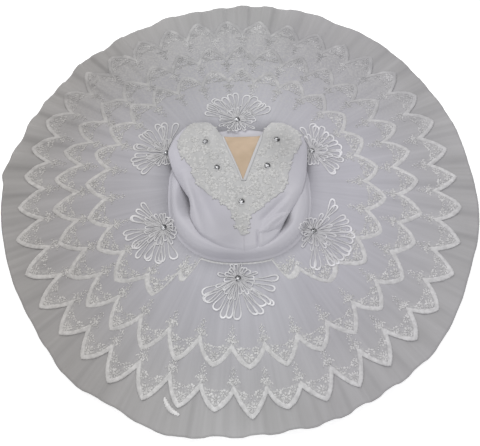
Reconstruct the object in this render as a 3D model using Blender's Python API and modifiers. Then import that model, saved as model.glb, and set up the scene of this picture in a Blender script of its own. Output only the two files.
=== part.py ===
"""Classical ballet tutu laid out flat: a round pancake skirt of pleated net with three lace tiers
and six ribbon flowers, and a strapless bodice lying back over the skirt's rear.

Metres, +Z up. The origin is on the floor below the middle of the skirt's outline, and the wearer's
front faces -Y. The tables below are drawn from the centre of the lace rings, in degrees from +X,
anticlockwise seen from above; OUTLINE_CENTRE moves the finished tutu to its origin.
"""

import math

import bmesh
import bpy
import numpy as np

# ---------------------------------------------------------------- driving dimensions

COLLECTION = "ballet_tutu"
SEAM_GAP = 0.0003
OUTLINE_CENTRE = (0.00245, 0.00615)
SHARP_ANGLE = 40.0

# Hip line, where the skirt is sewn on: a squarish oval.
HIP_CENTRE = (0.0045, -0.020)
HIP_HALF_WIDTH = 0.132
HIP_HALF_DEPTH = 0.137
HIP_SQUARENESS = 2.5

# Hem of the top net: angle, radius. Between the rows it runs as one smooth closed curve.
HEM_OUTLINE = (
    (0, 0.477),
    (24, 0.483),
    (52, 0.490),
    (76, 0.486),
    (98, 0.477),
    (118, 0.470),
    (140, 0.470),
    (166, 0.474),
    (190, 0.469),
    (210, 0.461),
    (234, 0.467),
    (258, 0.472),
    (280, 0.464),
    (304, 0.470),
    (328, 0.474),
    (345, 0.476),
)

# Ruffle waves of the nets.
WAVES = 48
WAVE_SPACING = ((3, 0.5, 1.1), (7, 2.0, 0.6))  # turns, phase, shift in radians of a wave
WAVE_HEIGHTS = ((5, 1.0, 0.28), (8, 2.6, 0.20))  # turns, phase, share of the height
WAVE_RADIAL = 0.0022
KNEE_RADIUS = 0.250

# Nets, top to bottom: name, underside at the hip, at the knee (0 for a net with none) and at the
# hem, wave height at the knee and at the hem, columns in a wave, how much shorter than the top net.
NET_WALL = 0.0012
NETS = (
    ("net_1", 0.0600, 0.0500, 0.0170, 0.0008, 0.0044, 4, 0.000),
    ("net_2", 0.0450, 0.0000, 0.0105, 0.0000, 0.0034, 2, 0.007),
    ("net_3", 0.0260, 0.0000, 0.0052, 0.0000, 0.0022, 2, 0.014),
    ("net_4", 0.0000, 0.0000, 0.0000, 0.0000, 0.0000, 2, 0.021),
)
NET_HIP_SCALE = 0.965

# Lace tiers: name, scallops in a full turn, angle of a tip, tip and valley radius, inner radius
# (0 is the hip), lift off the net at the inner edge, at the knee and at the tip.
LACE_WALL = 0.0010
LACE_TIERS = (
    ("lace_outer", 40, -88.6, 0.439, 0.400, 0.325, 0.0005, 0.0005, 0.0005),
    ("lace_middle", 33, -87.4, 0.362, 0.320, 0.250, 0.0005, 0.0005, 0.0029),
    ("lace_inner", 27, -8.0, 0.295, 0.262, 0.000, 0.0005, 0.0019, 0.0036),
)
SCALLOP_BULGE = 0.64  # how far out the side of a scallop is, half way to its tip
LACE_HIP_SCALE = 1.035
LACE_HIP_RADIUS = 0.12  # where the lift of a tier that starts at the hip is counted from
LACE_LEAST_WIDTH = 0.008
LACE_MIDDLE = 0.6  # middle ring of a narrow stretch, as a share of its width
LACE_PAST_KNEE = 0.004

# The inner lace tier is open at the centre front. Its edge runs in to the basque: angle, how much
# nearer to the centre the edge is than in the rest of the tier.
INNER_LACE_ENDS = (
    (-67.0, 0.105),
    (-64.5, 0.080),
    (-58.0, 0.052),
    (-51.5, 0.034),
    (-40.0, 0.010),
    (-28.0, 0.000),
    (212.0, 0.000),
    (222.0, 0.004),
    (230.0, 0.014),
    (235.0, 0.027),
    (239.0, 0.050),
    (242.0, 0.077),
    (245.0, 0.105),
)

# Basque: angle round the hip centre, inner edge as a share of the hip line, height of its crest
# and of its inner edge.
BASQUE_WALL = 0.0015
BASQUE_FOOT_SCALE = 1.012
BASQUE_FOOT_HEIGHT = 0.0622
BASQUE_HIP_SCALE = 1.003
BASQUE_SHAPE = (
    (-90, 0.86, 0.0825, 0.0795),
    (-70, 0.85, 0.0825, 0.0795),
    (-52, 0.75, 0.0820, 0.0760),
    (-32, 0.70, 0.0795, 0.0690),
    (-15, 0.78, 0.0760, 0.0675),
    (0, 0.80, 0.0735, 0.0665),
    (30, 0.80, 0.0675, 0.0662),
    (90, 0.78, 0.0655, 0.0660),
    (150, 0.78, 0.0675, 0.0662),
    (180, 0.70, 0.0760, 0.0665),
    (195, 0.70, 0.0805, 0.0665),
    (210, 0.70, 0.0830, 0.0670),
    (228, 0.74, 0.0825, 0.0750),
    (248, 0.82, 0.0825, 0.0795),
)
BASQUE_COLUMNS = 44
BASQUE_CREST = 0.44  # place of the crest, as a share of the way from the inner edge to the hip line
BASQUE_TURN = 0.42  # how far the band's rounded ring beside the crest has turned down

# Bodice front as it lies, from the waist (row 0) to the neckline (row 1): row, left side, right
# side, height at the left side, at the centre and at the right side.
BODICE_WALL = 0.0015
BODICE_ROWS = (
    (0.00, -0.0710, 0.0790, 0.0850, 0.0850, 0.0850),
    (0.10, -0.0790, 0.0870, 0.0862, 0.0885, 0.0862),
    (0.22, -0.0885, 0.1040, 0.0850, 0.0910, 0.0850),
    (0.35, -0.0955, 0.1190, 0.0825, 0.0925, 0.0830),
    (0.55, -0.1150, 0.1320, 0.0800, 0.0930, 0.0800),
    (0.75, -0.1265, 0.1375, 0.0785, 0.0905, 0.0780),
    (0.90, -0.1320, 0.1400, 0.0780, 0.0835, 0.0775),
    (1.00, -0.1265, 0.1375, 0.0765, 0.0755, 0.0760),
)
BODICE_CENTRE_X = (0.010, 0.014)  # at the waist and at the neckline

# Waist and neckline of the bodice: place across it (-1 left side, 1 right side), y.
WAIST_LINE = (
    (-1.00, -0.111),
    (-0.75, -0.126),
    (-0.40, -0.142),
    (0.00, -0.1475),
    (0.45, -0.142),
    (0.80, -0.127),
    (1.00, -0.111),
)
NECK_LINE = (
    (-1.00, 0.088),
    (-0.90, 0.107),
    (-0.80, 0.122),
    (-0.66, 0.133),
    (-0.50, 0.134),
    (-0.39, 0.122),
    (-0.265, 0.098),
    (0.00, 0.098),
    (0.298, 0.096),
    (0.40, 0.117),
    (0.50, 0.128),
    (0.64, 0.127),
    (0.78, 0.117),
    (0.92, 0.103),
    (1.00, 0.086),
)

# Cups: x, y of the middle, radius, height.
CUPS = (
    (-0.066, 0.078, 0.046, 0.0085),
    (0.082, 0.072, 0.046, 0.0085),
)

# Folds of the satin: x, y of one end, x, y of the other, half width, height (below 0 a crease).
FOLDS = (
    (-0.106, 0.022, -0.072, -0.105, 0.0075, 0.0042),
    (-0.088, 0.010, -0.055, -0.095, 0.0070, -0.0022),
    (0.112, -0.010, 0.052, -0.118, 0.0085, 0.0030),
    (0.100, -0.055, 0.070, -0.108, 0.0065, 0.0036),
    (0.096, -0.020, 0.038, -0.100, 0.0070, -0.0020),
    (0.036, -0.112, 0.037, -0.139, 0.0045, 0.0020),
    (-0.050, -0.118, -0.012, -0.137, 0.0060, -0.0012),
)

# Nude insert: its two top corners across the bodice, and the row of its point.
INSERT_LEFT = -0.265
INSERT_RIGHT = 0.298
INSERT_POINT_ROW = 0.565

# Plastron: row, outer edge on the left and on the right, as places across the bodice.
PLASTRON_WALL = 0.0010
PLASTRON_ROWS = (
    (0.130, -0.03, 0.03),
    (0.22, -0.09, 0.12),
    (0.34, -0.14, 0.32),
    (0.45, -0.33, 0.52),
    (0.58, -0.53, 0.72),
    (0.72, -0.62, 0.82),
    (0.86, -0.66, 0.84),
    (0.995, -0.74, 0.80),
)

# Rows and columns of the fronts' grid, which the backs, the insert and the plastron share.
FRONT_ROWS = (0.0, 0.05, 0.13, 0.20, 0.28, 0.37, 0.46, 0.565, 0.66, 0.76, 0.85, 0.93, 1.0)
PLASTRON_COLUMNS = 6
PLASTRON_START = 2
PLASTRON_LIFT = 0.00186
PLASTRON_INSET = 0.0012  # how far it stops short of the insert's sides
PLASTRON_TOP_ROW = 0.997
WELD_DISTANCE = 0.00005
SIDE_SHARES = (0.3, 0.6, 0.85, 1.0)
BACK_ROWS = (4, 12)
SMALL_STEP = 0.01  # step across and along the bodice that its slope is taken over
CENTRE_SEAM = 0.0016  # half gap between the fronts, across the bodice
BACK_SEAM = 0.0048
INSERT_SEAM = 0.0060
CROWN_POWER = 3.0  # how flat the bodice lies between its sides
CUP_POWER = 1.5
FOLD_ENDS = 0.7  # how quickly a fold dies away at its ends
PLACE_STEPS = 60  # corrections when x, y is turned into a place of the bodice
PLACE_SIZE = (0.125, 0.24)  # half width and length of the bodice that they are made with

# Knickers heap below the bodice: share of the hip line, height. Its top lies just below the bodice.
HEAP_FOOT = (
    (0.9550, 0.0000),
    (0.9628, 0.0010),
    (0.9628, 0.0600),
    (0.9400, 0.0606),
)
HEAP_COLUMNS = 36
HEAP_BELOW_BASQUE = 0.0606
HEAP_TOP_RINGS = (0.90, 0.70, 0.40)  # shares of the basque's inner edge
HEAP_CLEARANCE = 0.0018
HEAP_RIM = 0.0625  # greatest height of the first top ring, and of the rest
HEAP_CROWN = 0.0900

# Ribbon flowers: x, y of the gem, turn of the fan of long loops, lace tier that the flower lies on.
FLOWERS = (
    (0.0050, 0.147, 88.0, "lace_inner"),
    (-0.1375, 0.074, 149.0, "lace_inner"),
    (-0.1400, -0.088, 207.0, "lace_inner"),
    (-0.0030, -0.194, 274.0, "lace_middle"),
    (0.1420, -0.106, 338.0, "lace_inner"),
    (0.1505, 0.068, 20.0, "lace_inner"),
)
FLOWER_WALL = 0.0020
LONG_LOOPS = 10
LONG_LOOP = (0.046, 0.071, 0.079)  # radius between two loops, at a loop's shoulder and tip
LONG_FAN = 168.0
LOOP_SHOULDERS = (0.24, 0.76)  # where a long loop's shoulders are across its pitch
SHORT_LOOPS = 8
SHORT_LOOP = (0.028, 0.040)  # radius between two loops and at a tip
FLOWER_RINGS = (0.42, 0.86, 1.0)  # rings of a flower, as shares of its outline
LOOP_BAND = 0  # the band between two rings, and the columns of a loop, that are its hole
LOOP_COLUMNS = (1, 2)
FLOWER_CLEAR = 1.035  # share of the hip line that the loops stay outside of
FLOWER_CROWN = 0.0045
GEM_RADIUS = 0.0058
GEM_TABLE = 0.0036
GEM_HEIGHT = 0.0034
GEM_SIDES = 8

# Rhinestones of the bodice: x, y, height over the smooth surface that seats it on the plastron.
BODICE_GEMS = (
    (-0.058, 0.081, -0.00036),
    (-0.037, 0.023, 0.00170),
    (0.061, 0.022, 0.00062),
    (0.083, 0.082, 0.00011),
    (0.009, -0.053, 0.00036),
)

# Materials: base colour, roughness, metallic.
FINISHES = {
    "net": ((0.72, 0.71, 0.76), 0.85, 0.0),
    "lace": ((0.86, 0.86, 0.85), 0.80, 0.0),
    "satin": ((0.78, 0.77, 0.83), 0.38, 0.0),
    "nude mesh": ((0.72, 0.55, 0.40), 0.70, 0.0),
    "cotton": ((0.80, 0.79, 0.80), 0.90, 0.0),
    "ribbon": ((0.90, 0.90, 0.91), 0.35, 0.0),
    "crystal": ((0.85, 0.87, 0.90), 0.05, 0.6),
}


# ---------------------------------------------------------------- helpers


def material(name, finish):
    """A Principled material for one object."""
    colour, roughness, metallic = FINISHES[finish]
    made = bpy.data.materials.new(name)
    made.use_nodes = True
    shader = made.node_tree.nodes["Principled BSDF"]
    shader.inputs["Base Color"].default_value = (*colour, 1.0)
    shader.inputs["Roughness"].default_value = roughness
    shader.inputs["Metallic"].default_value = metallic
    return made


def add_object(name, points, faces, finish):
    """A smooth-shaded mesh object in the tutu's collection."""
    mesh = bpy.data.meshes.new(name)
    mesh.from_pydata([tuple(p) for p in points], [], faces)
    mesh.validate()
    mesh.shade_smooth()
    mesh.set_sharp_from_angle(angle=math.radians(SHARP_ANGLE))
    mesh.materials.append(material(name, finish))
    made = bpy.data.objects.new(name, mesh)
    bpy.data.collections[COLLECTION].objects.link(made)
    return made


def grid_faces(rows, columns, closed):
    """Quads of a grid whose columns run anticlockwise and whose rows run outwards."""
    wrap = columns if closed else columns - 1
    faces = []
    for row in range(rows - 1):
        for column in range(wrap):
            after = (column + 1) % columns
            inner, outer = row * columns, (row + 1) * columns
            faces.append((inner + column, outer + column, outer + after, inner + after))
    return faces


def wall(name, grid, thickness, finish, closed=False):
    """A cloth wall above the grid of points, rows outwards and columns anticlockwise."""
    rows, columns = grid.shape[:2]
    made = add_object(name, grid.reshape(-1, 3), grid_faces(rows, columns, closed), finish)
    solidify = made.modifiers.new("wall", "SOLIDIFY")
    solidify.thickness = thickness
    solidify.offset = 1.0
    return made


def gentle_slopes(keys, values):
    """Slope at each row of a table: the harmonic mean of its two spans', or flat at a turn."""
    steps = np.diff(values, axis=0) / np.diff(keys)[:, None]
    before, after = steps[:-1], steps[1:]
    turns = before * after <= 0.0
    total = np.where(turns, 1.0, before + after)
    inside = np.where(turns, 0.0, 2.0 * before * after / total)
    return np.concatenate((steps[:1], inside, steps[-1:]))


def smooth_table(rows, at, period=None):
    """The table's second and later columns at the places, by a smooth curve through its rows."""
    table = np.array(rows, dtype=float)
    keys, values = table[:, 0], table[:, 1:]
    at = np.atleast_1d(np.asarray(at, dtype=float))
    if period:
        at = keys[0] + np.mod(at - keys[0], period)
        keys = np.concatenate((keys[-2:] - period, keys, keys[:3] + period))
        values = np.concatenate((values[-2:], values, values[:3]))
    slopes = gentle_slopes(keys, values)
    span = np.clip(np.searchsorted(keys, at, side="right") - 1, 0, len(keys) - 2)
    width = keys[span + 1] - keys[span]
    t = np.clip((at - keys[span]) / width, 0.0, 1.0)[:, None]
    width = width[:, None]
    start, end = values[span], values[span + 1]
    return (
        (2 * t**3 - 3 * t**2 + 1) * start
        + (t**3 - 2 * t**2 + t) * width * slopes[span]
        + (3 * t**2 - 2 * t**3) * end
        + (t**3 - t**2) * width * slopes[span + 1]
    )


def hip_reach(angle):
    """Distance from the hip centre to the hip line, along an angle in radians."""
    across = np.abs(np.cos(angle)) / HIP_HALF_WIDTH
    along = np.abs(np.sin(angle)) / HIP_HALF_DEPTH
    return (across**HIP_SQUARENESS + along**HIP_SQUARENESS) ** (-1.0 / HIP_SQUARENESS)


def hip_point(angle, scale):
    """x, y on the hip line, scaled about the hip centre."""
    reach = hip_reach(angle) * scale
    return HIP_CENTRE[0] + reach * np.cos(angle), HIP_CENTRE[1] + reach * np.sin(angle)


def hip_radius(angle, scale):
    """Radius from the skirt's centre of the scaled hip line, along an angle in radians."""
    around = np.linspace(-np.pi, np.pi, 721)
    x, y = hip_point(around, scale)
    polar = np.arctan2(y, x)
    order = np.argsort(polar)
    return np.interp(angle, polar[order], np.hypot(x, y)[order], period=2 * np.pi)


# ---------------------------------------------------------------- nets


def ripple(angle, terms):
    """Sum of sines of the angle: turns, phase, height."""
    return sum(height * np.sin(turns * angle + phase) for turns, phase, height in terms)


def wave_columns(per_wave):
    """Angles of the columns, per_wave of them in each wave, and the wave's height there, -1 to 1."""
    fine = np.linspace(0.0, 2 * np.pi, 7201)
    turned = WAVES * fine + ripple(fine, WAVE_SPACING) - ripple(0.0, WAVE_SPACING)
    phase = (np.arange(WAVES * per_wave) + 0.5) * 2 * np.pi / per_wave
    angle = np.interp(phase, turned, fine)
    return angle, np.sign(np.sin(phase))


def wave_height(angle, at_knee, at_hem, share):
    """Height of the ruffle at a share of the way from the knee to the hem."""
    uneven = 1.0 + ripple(angle, WAVE_HEIGHTS)
    return uneven * (at_knee + (at_hem - at_knee) * share)


def hem_radius(angle):
    return smooth_table(HEM_OUTLINE, np.degrees(angle), 360.0)[:, 0]


def ring(angle, radius, z):
    """Points of one ring of a skirt layer."""
    return np.stack((radius * np.cos(angle), radius * np.sin(angle), z + 0.0 * angle), axis=-1)


def net(name, hip_z, knee_z, hem_z, knee_wave, hem_wave, per_wave, shorter):
    """One pleated net: a ring from the hip, over the knee where it has one, to the hem."""
    angle, wave = wave_columns(per_wave)
    rings = [ring(angle, hip_radius(angle, NET_HIP_SCALE), hip_z)]
    if knee_z:
        lift = wave * wave_height(angle, knee_wave, hem_wave, 0.0)
        rings.append(ring(angle, KNEE_RADIUS, knee_z + lift))
    lift = wave * wave_height(angle, knee_wave, hem_wave, 1.0)
    rings.append(ring(angle, hem_radius(angle) - shorter - WAVE_RADIAL * wave, hem_z + lift))
    wall(name, np.array(rings), NET_WALL, "net", closed=True)


def net_crest(angle, radius):
    """Height that clears the top net's waves, at an angle in radians and a radius."""
    _, hip_z, knee_z, hem_z, knee_wave, hem_wave, _, _ = NETS[0]
    hip = hip_radius(angle, NET_HIP_SCALE)
    hem = hem_radius(angle)
    to_knee = np.clip((radius - hip) / (KNEE_RADIUS - hip), 0.0, 1.0)
    to_hem = np.clip((radius - KNEE_RADIUS) / (hem - KNEE_RADIUS), 0.0, 1.0)
    mean = hip_z + (knee_z - hip_z) * to_knee + (hem_z - knee_z) * to_hem
    wave = wave_height(angle, knee_wave, hem_wave, to_hem) * np.where(to_hem > 0.0, 1.0, to_knee)
    return mean + wave + NET_WALL * 1.01


# ---------------------------------------------------------------- lace


def lace_lift(name, radius):
    """How far a lace tier's underside is above the net's crests, at a radius."""
    for tier, _, _, tip, _, inner, at_inner, at_knee, at_tip in LACE_TIERS:
        if tier == name:
            start = max(inner, LACE_HIP_RADIUS)
            knee = max(KNEE_RADIUS, start + LACE_WALL)
            return np.interp(radius, (start, knee, tip), (at_inner, at_knee, at_tip))
    raise KeyError(name)


def lace(name, scallops, tip_angle, tip, valley, inner, *_):
    """One lace tier: a band on the net whose outer edge is pointed scallops."""
    is_open = inner == 0.0
    first, last = (INNER_LACE_ENDS[0][0], INNER_LACE_ENDS[-1][0]) if is_open else (0.0, 360.0)
    quarter = 90.0 / scallops
    start = math.ceil((first - tip_angle) / quarter)
    stop = math.floor((last - tip_angle) / quarter)
    steps = np.arange(start, stop + (1 if is_open else 0))
    if not is_open:
        steps = np.arange(start, start + 4 * scallops)
    angle = np.radians(tip_angle + steps * quarter)
    side = valley + SCALLOP_BULGE * (tip - valley)
    edge = np.array((tip, side, valley, side))[np.mod(steps, 4)]
    if is_open:
        edge = edge - smooth_table(INNER_LACE_ENDS, np.degrees(angle))[:, 0]
        hip = hip_radius(angle, LACE_HIP_SCALE)
        edge = np.maximum(edge, hip + LACE_LEAST_WIDTH)
        middle = np.minimum(KNEE_RADIUS, hip + LACE_MIDDLE * (edge - hip))
        middle = np.where(edge > KNEE_RADIUS + LACE_PAST_KNEE, KNEE_RADIUS, middle)
        radii = (hip, middle, edge)
    else:
        radii = (inner + 0.0 * angle, edge)
    rings = [ring(angle, r, net_crest(angle, r) + lace_lift(name, r)) for r in radii]
    wall(name, np.array(rings), LACE_WALL, "lace", closed=not is_open)


# ---------------------------------------------------------------- basque and knickers


def basque():
    """The hip band: up from its foot on the skirt to a crest, and down inside to its inner edge."""
    angle = np.linspace(-np.pi, np.pi, BASQUE_COLUMNS, endpoint=False)
    inner, crest_z, inner_z = smooth_table(BASQUE_SHAPE, np.degrees(angle), 360.0).T
    crest = inner + BASQUE_CREST * (1.0 - inner)
    rise = crest_z - BASQUE_FOOT_HEIGHT
    profile = (
        (inner, inner_z),
        (0.5 * (crest + inner), crest_z - BASQUE_TURN * (crest_z - inner_z)),
        (crest, crest_z),
        (1.0 - BASQUE_TURN * (1.0 - crest), BASQUE_FOOT_HEIGHT + 2.0 * BASQUE_TURN * rise),
        (BASQUE_HIP_SCALE + 0.0 * inner, BASQUE_FOOT_HEIGHT + BASQUE_TURN * rise),
        (BASQUE_FOOT_SCALE + 0.0 * inner, BASQUE_FOOT_HEIGHT + 0.0 * rise),
    )
    grid = np.array([np.stack((*hip_point(angle, scale), z), axis=-1) for scale, z in profile])
    made = wall("basque", grid, BASQUE_WALL, "satin", closed=True)
    made.modifiers["wall"].offset = -1.0


def knickers():
    """The folded knickers: one rounded heap on the floor that carries the skirt and the bodice."""
    angle = np.linspace(-np.pi, np.pi, HEAP_COLUMNS, endpoint=False)
    inner = smooth_table(BASQUE_SHAPE, np.degrees(angle), 360.0)[:, 0]
    outline = (*HEAP_FOOT, (inner, HEAP_BELOW_BASQUE))
    rings = [np.stack((*hip_point(angle, scale), z + 0.0 * angle), axis=-1) for scale, z in outline]
    for share in HEAP_TOP_RINGS:
        x, y = hip_point(angle, inner * share)
        highest = HEAP_RIM if share == HEAP_TOP_RINGS[0] else HEAP_CROWN
        rings.append(np.stack((x, y, heap_top(x, y, highest)), axis=-1))
    rows = np.array(rings)
    middle = [np.array([place]) for place in HIP_CENTRE]
    top = float(heap_top(*middle, HEAP_CROWN)[0])
    points = [*rows.reshape(-1, 3), (*HIP_CENTRE, 0.0), (*HIP_CENTRE, top)]
    count, last = HEAP_COLUMNS, (len(rings) - 1) * HEAP_COLUMNS
    faces = [tuple(reversed(face)) for face in grid_faces(len(rings), count, True)]
    for column in range(count):
        after = (column + 1) % count
        faces.append((column, len(points) - 2, after))
        faces.append((last + column, last + after, len(points) - 1))
    add_object("knickers", points, faces, "cotton")


# ---------------------------------------------------------------- bodice


def bodice_plan(across, row):
    """x, y of a place of the bodice: across -1 to 1, row 0 at the waist to 1 at the neckline."""
    left, right = smooth_table([r[:3] for r in BODICE_ROWS], row.ravel()).T
    left, right = left.reshape(row.shape), right.reshape(row.shape)
    centre = BODICE_CENTRE_X[0] + (BODICE_CENTRE_X[1] - BODICE_CENTRE_X[0]) * row
    x = centre + np.where(across < 0.0, (centre - left) * across, (right - centre) * across)
    waist = smooth_table(WAIST_LINE, across.ravel())[:, 0].reshape(row.shape)
    neck = smooth_table(NECK_LINE, across.ravel())[:, 0].reshape(row.shape)
    return x, waist + (neck - waist) * row


def fold_height(x, y):
    """Height of the folds at x, y: a soft ridge or crease along each fold's line."""
    height = np.zeros_like(x)
    for x0, y0, x1, y1, half_width, rise in FOLDS:
        length = math.hypot(x1 - x0, y1 - y0)
        along = ((x - x0) * (x1 - x0) + (y - y0) * (y1 - y0)) / length**2
        off = ((x - x0) * (y1 - y0) - (y - y0) * (x1 - x0)) / length
        ends = np.sin(np.pi * np.clip(along, 0.0, 1.0)) ** FOLD_ENDS
        height += rise * ends * np.exp(-((off / half_width) ** 2))
    return height


def bodice_surface(across, row):
    """Points of the bodice front's underside: a crowned sheet with cups and folds."""
    across, row = np.broadcast_arrays(np.asarray(across, float), np.asarray(row, float))
    x, y = bodice_plan(across, row)
    heights = smooth_table([(r[0], *r[3:]) for r in BODICE_ROWS], row.ravel())
    left, centre, right = (column.reshape(row.shape) for column in heights.T)
    side = np.where(across < 0.0, left, right)
    z = side + (centre - side) * (1.0 - np.abs(across) ** CROWN_POWER) - BODICE_WALL
    for cup_x, cup_y, radius, rise in CUPS:
        distance = np.hypot(x - cup_x, y - cup_y) / radius
        z = z + rise * np.exp(-(distance ** (2.0 * CUP_POWER)))
    return np.stack((x, y, z + fold_height(x, y)), axis=-1)


def bodice_normals(across, row):
    """Unit normals of the bodice, upwards, from small steps along both directions."""
    across, row = np.broadcast_arrays(np.asarray(across, float), np.asarray(row, float))
    along_a = bodice_surface(across + SMALL_STEP, row) - bodice_surface(across - SMALL_STEP, row)
    along_r = bodice_surface(across, row + SMALL_STEP) - bodice_surface(across, row - SMALL_STEP)
    normal = np.cross(along_a, along_r)
    return normal / np.linalg.norm(normal, axis=-1, keepdims=True)


def bodice_place(x, y):
    """Across and row of the bodice at x, y, by repeated correction."""
    across, row = np.zeros_like(x), np.full_like(x, 0.5)
    for _ in range(PLACE_STEPS):
        at_x, at_y = bodice_plan(across, row)
        across = np.clip(across + (x - at_x) / PLACE_SIZE[0], -1.0, 1.0)
        row = np.clip(row + (y - at_y) / PLACE_SIZE[1], 0.0, 1.0)
    return across, row


def heap_top(x, y, highest):
    """Height of the knickers heap at x, y: just below the bodice's backs."""
    across, row = bodice_place(x, y)
    below = bodice_surface(across, row)[..., 2] - BODICE_WALL - HEAP_CLEARANCE
    return np.minimum(below, highest)


def insert_side(row, corner):
    """Place across the bodice of the insert's slanting side."""
    return corner * np.clip((row - INSERT_POINT_ROW) / (1.0 - INSERT_POINT_ROW), 0.0, 1.0)


def plastron_edge(sign, rows):
    """Place across the bodice of the plastron's outer edge, a grid line of the fronts."""
    left, right = smooth_table(PLASTRON_ROWS, rows).T
    return left if sign < 0.0 else right


def front_grid(sign, corner):
    """Places across and rows of one front: columns run from the middle over the plastron's edge."""
    rows = np.array(FRONT_ROWS)
    seam = np.where(rows < INSERT_POINT_ROW, CENTRE_SEAM, INSERT_SEAM) * sign
    inner = insert_side(rows, corner) + seam
    edge = plastron_edge(sign, rows)
    columns = [inner + (edge - inner) * share for share in np.linspace(0.0, 1.0, PLASTRON_COLUMNS)]
    columns += [edge + (sign - edge) * share for share in SIDE_SHARES]
    across = np.stack(columns, axis=1)
    return across, np.repeat(rows[:, None], across.shape[1], axis=1)


def bodice_panel(name, across, row, lift, thickness, finish, below=False):
    """A wall on the bodice's surface, moved out along the normals by the lift."""
    grid = bodice_surface(across, row) + lift * bodice_normals(across, row)
    if across[0, -1] > across[0, 0]:
        grid = grid[:, ::-1]
    made = wall(name, grid, thickness, finish)
    if below:
        made.modifiers["wall"].offset = -1.0


def bodice():
    """Fronts, backs and the nude insert, all on the fronts' own rows and columns."""
    for side, corner in (("left", INSERT_LEFT), ("right", INSERT_RIGHT)):
        sign = math.copysign(1.0, corner)
        across, row = front_grid(sign, corner)
        bodice_panel(f"bodice_front_{side}", across, row, 0.0, BODICE_WALL, "satin")
        centre = np.full_like(across[:, :1], BACK_SEAM * sign)
        slant = insert_side(row[:, :1], corner)
        beside = np.where(np.abs(slant) > np.abs(across[:, 1:2]) * 0.5, slant, across[:, 1:2] * 0.5)
        across = np.concatenate((centre, beside, across[:, 1:]), axis=1)
        row = np.repeat(row[:, :1], across.shape[1], axis=1)
        kept = slice(*BACK_ROWS)
        lift = -SEAM_GAP
        bodice_panel(f"bodice_back_{side}", across[kept], row[kept], lift, BODICE_WALL, "satin", True)
    rows = np.array([row for row in FRONT_ROWS if row >= INSERT_POINT_ROW])
    left, right = (insert_side(rows, corner) for corner in (INSERT_LEFT, INSERT_RIGHT))
    across = np.stack((left, 0.0 * rows, right), axis=1)
    across[0, 0], across[0, 2] = -0.5 * INSERT_SEAM, 0.5 * INSERT_SEAM
    bodice_panel("neck_insert", across, np.repeat(rows[:, None], 3, axis=1), 0.0, BODICE_WALL, "nude mesh")


def plastron():
    """Lace applique made from the fronts' points, moved out: one piece joined below the insert."""
    points, faces = [], []
    for corner in (INSERT_LEFT, INSERT_RIGHT):
        sign = math.copysign(1.0, corner)
        across, row = front_grid(sign, corner)
        across, row = across[PLASTRON_START:, :PLASTRON_COLUMNS], row[PLASTRON_START:, :PLASTRON_COLUMNS]
        inset = across[:, 0] + PLASTRON_INSET * sign
        across[:, 0] = np.where(row[:, 0] < INSERT_POINT_ROW, 0.0, inset)
        row = np.minimum(row, PLASTRON_TOP_ROW)
        grid = bodice_surface(across, row) + PLASTRON_LIFT * bodice_normals(across, row)
        if sign > 0.0:
            grid = grid[:, ::-1]
        start = len(points)
        points += list(grid.reshape(-1, 3))
        faces += [tuple(start + i for i in face) for face in grid_faces(*grid.shape[:2], False)]
    made = add_object("plastron", points, faces, "lace")
    edit = bmesh.new()
    edit.from_mesh(made.data)
    bmesh.ops.remove_doubles(edit, verts=edit.verts, dist=WELD_DISTANCE)
    edit.to_mesh(made.data)
    edit.free()
    solidify = made.modifiers.new("wall", "SOLIDIFY")
    solidify.thickness = PLASTRON_WALL
    solidify.offset = 1.0


# ---------------------------------------------------------------- flowers and rhinestones


def flower_outline():
    """Angles in degrees from the fan's middle, and radii, of the looped edge."""
    pitch = LONG_FAN / LONG_LOOPS
    angles, radii = [], []
    between, shoulder, tip = LONG_LOOP
    for loop in range(LONG_LOOPS):
        start = -LONG_FAN / 2 + loop * pitch
        angles += [start + share * pitch for share in (0.0, LOOP_SHOULDERS[0], 0.5, LOOP_SHOULDERS[1])]
        radii += [between, shoulder, tip, shoulder]
    pitch = (360.0 - LONG_FAN) / SHORT_LOOPS
    for loop in range(SHORT_LOOPS):
        start = LONG_FAN / 2 + loop * pitch
        angles += [start, start + 0.5 * pitch]
        radii += [*SHORT_LOOP]
    return np.array(angles), np.array(radii)


def clear_of_basque(x, y, around, radii):
    """The radii, shortened where they would run on to the basque."""
    shares = np.linspace(0.2, 1.0, 81)[:, None]
    away_x = x + shares * radii * np.cos(around) - HIP_CENTRE[0]
    away_y = y + shares * radii * np.sin(around) - HIP_CENTRE[1]
    scale = np.hypot(away_x, away_y) / hip_reach(np.arctan2(away_y, away_x))
    touches = scale < FLOWER_CLEAR
    first = np.where(touches.any(axis=0), np.argmax(touches, axis=0), len(shares) - 1)
    return radii * shares[first, 0]


def lace_level(tier, x, y):
    """Height just above a lace tier at x, y."""
    polar, radius = np.arctan2(y, x), np.hypot(x, y)
    lift = lace_lift(tier, radius) + LACE_WALL + SEAM_GAP
    return net_crest(polar, radius) + lift


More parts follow.
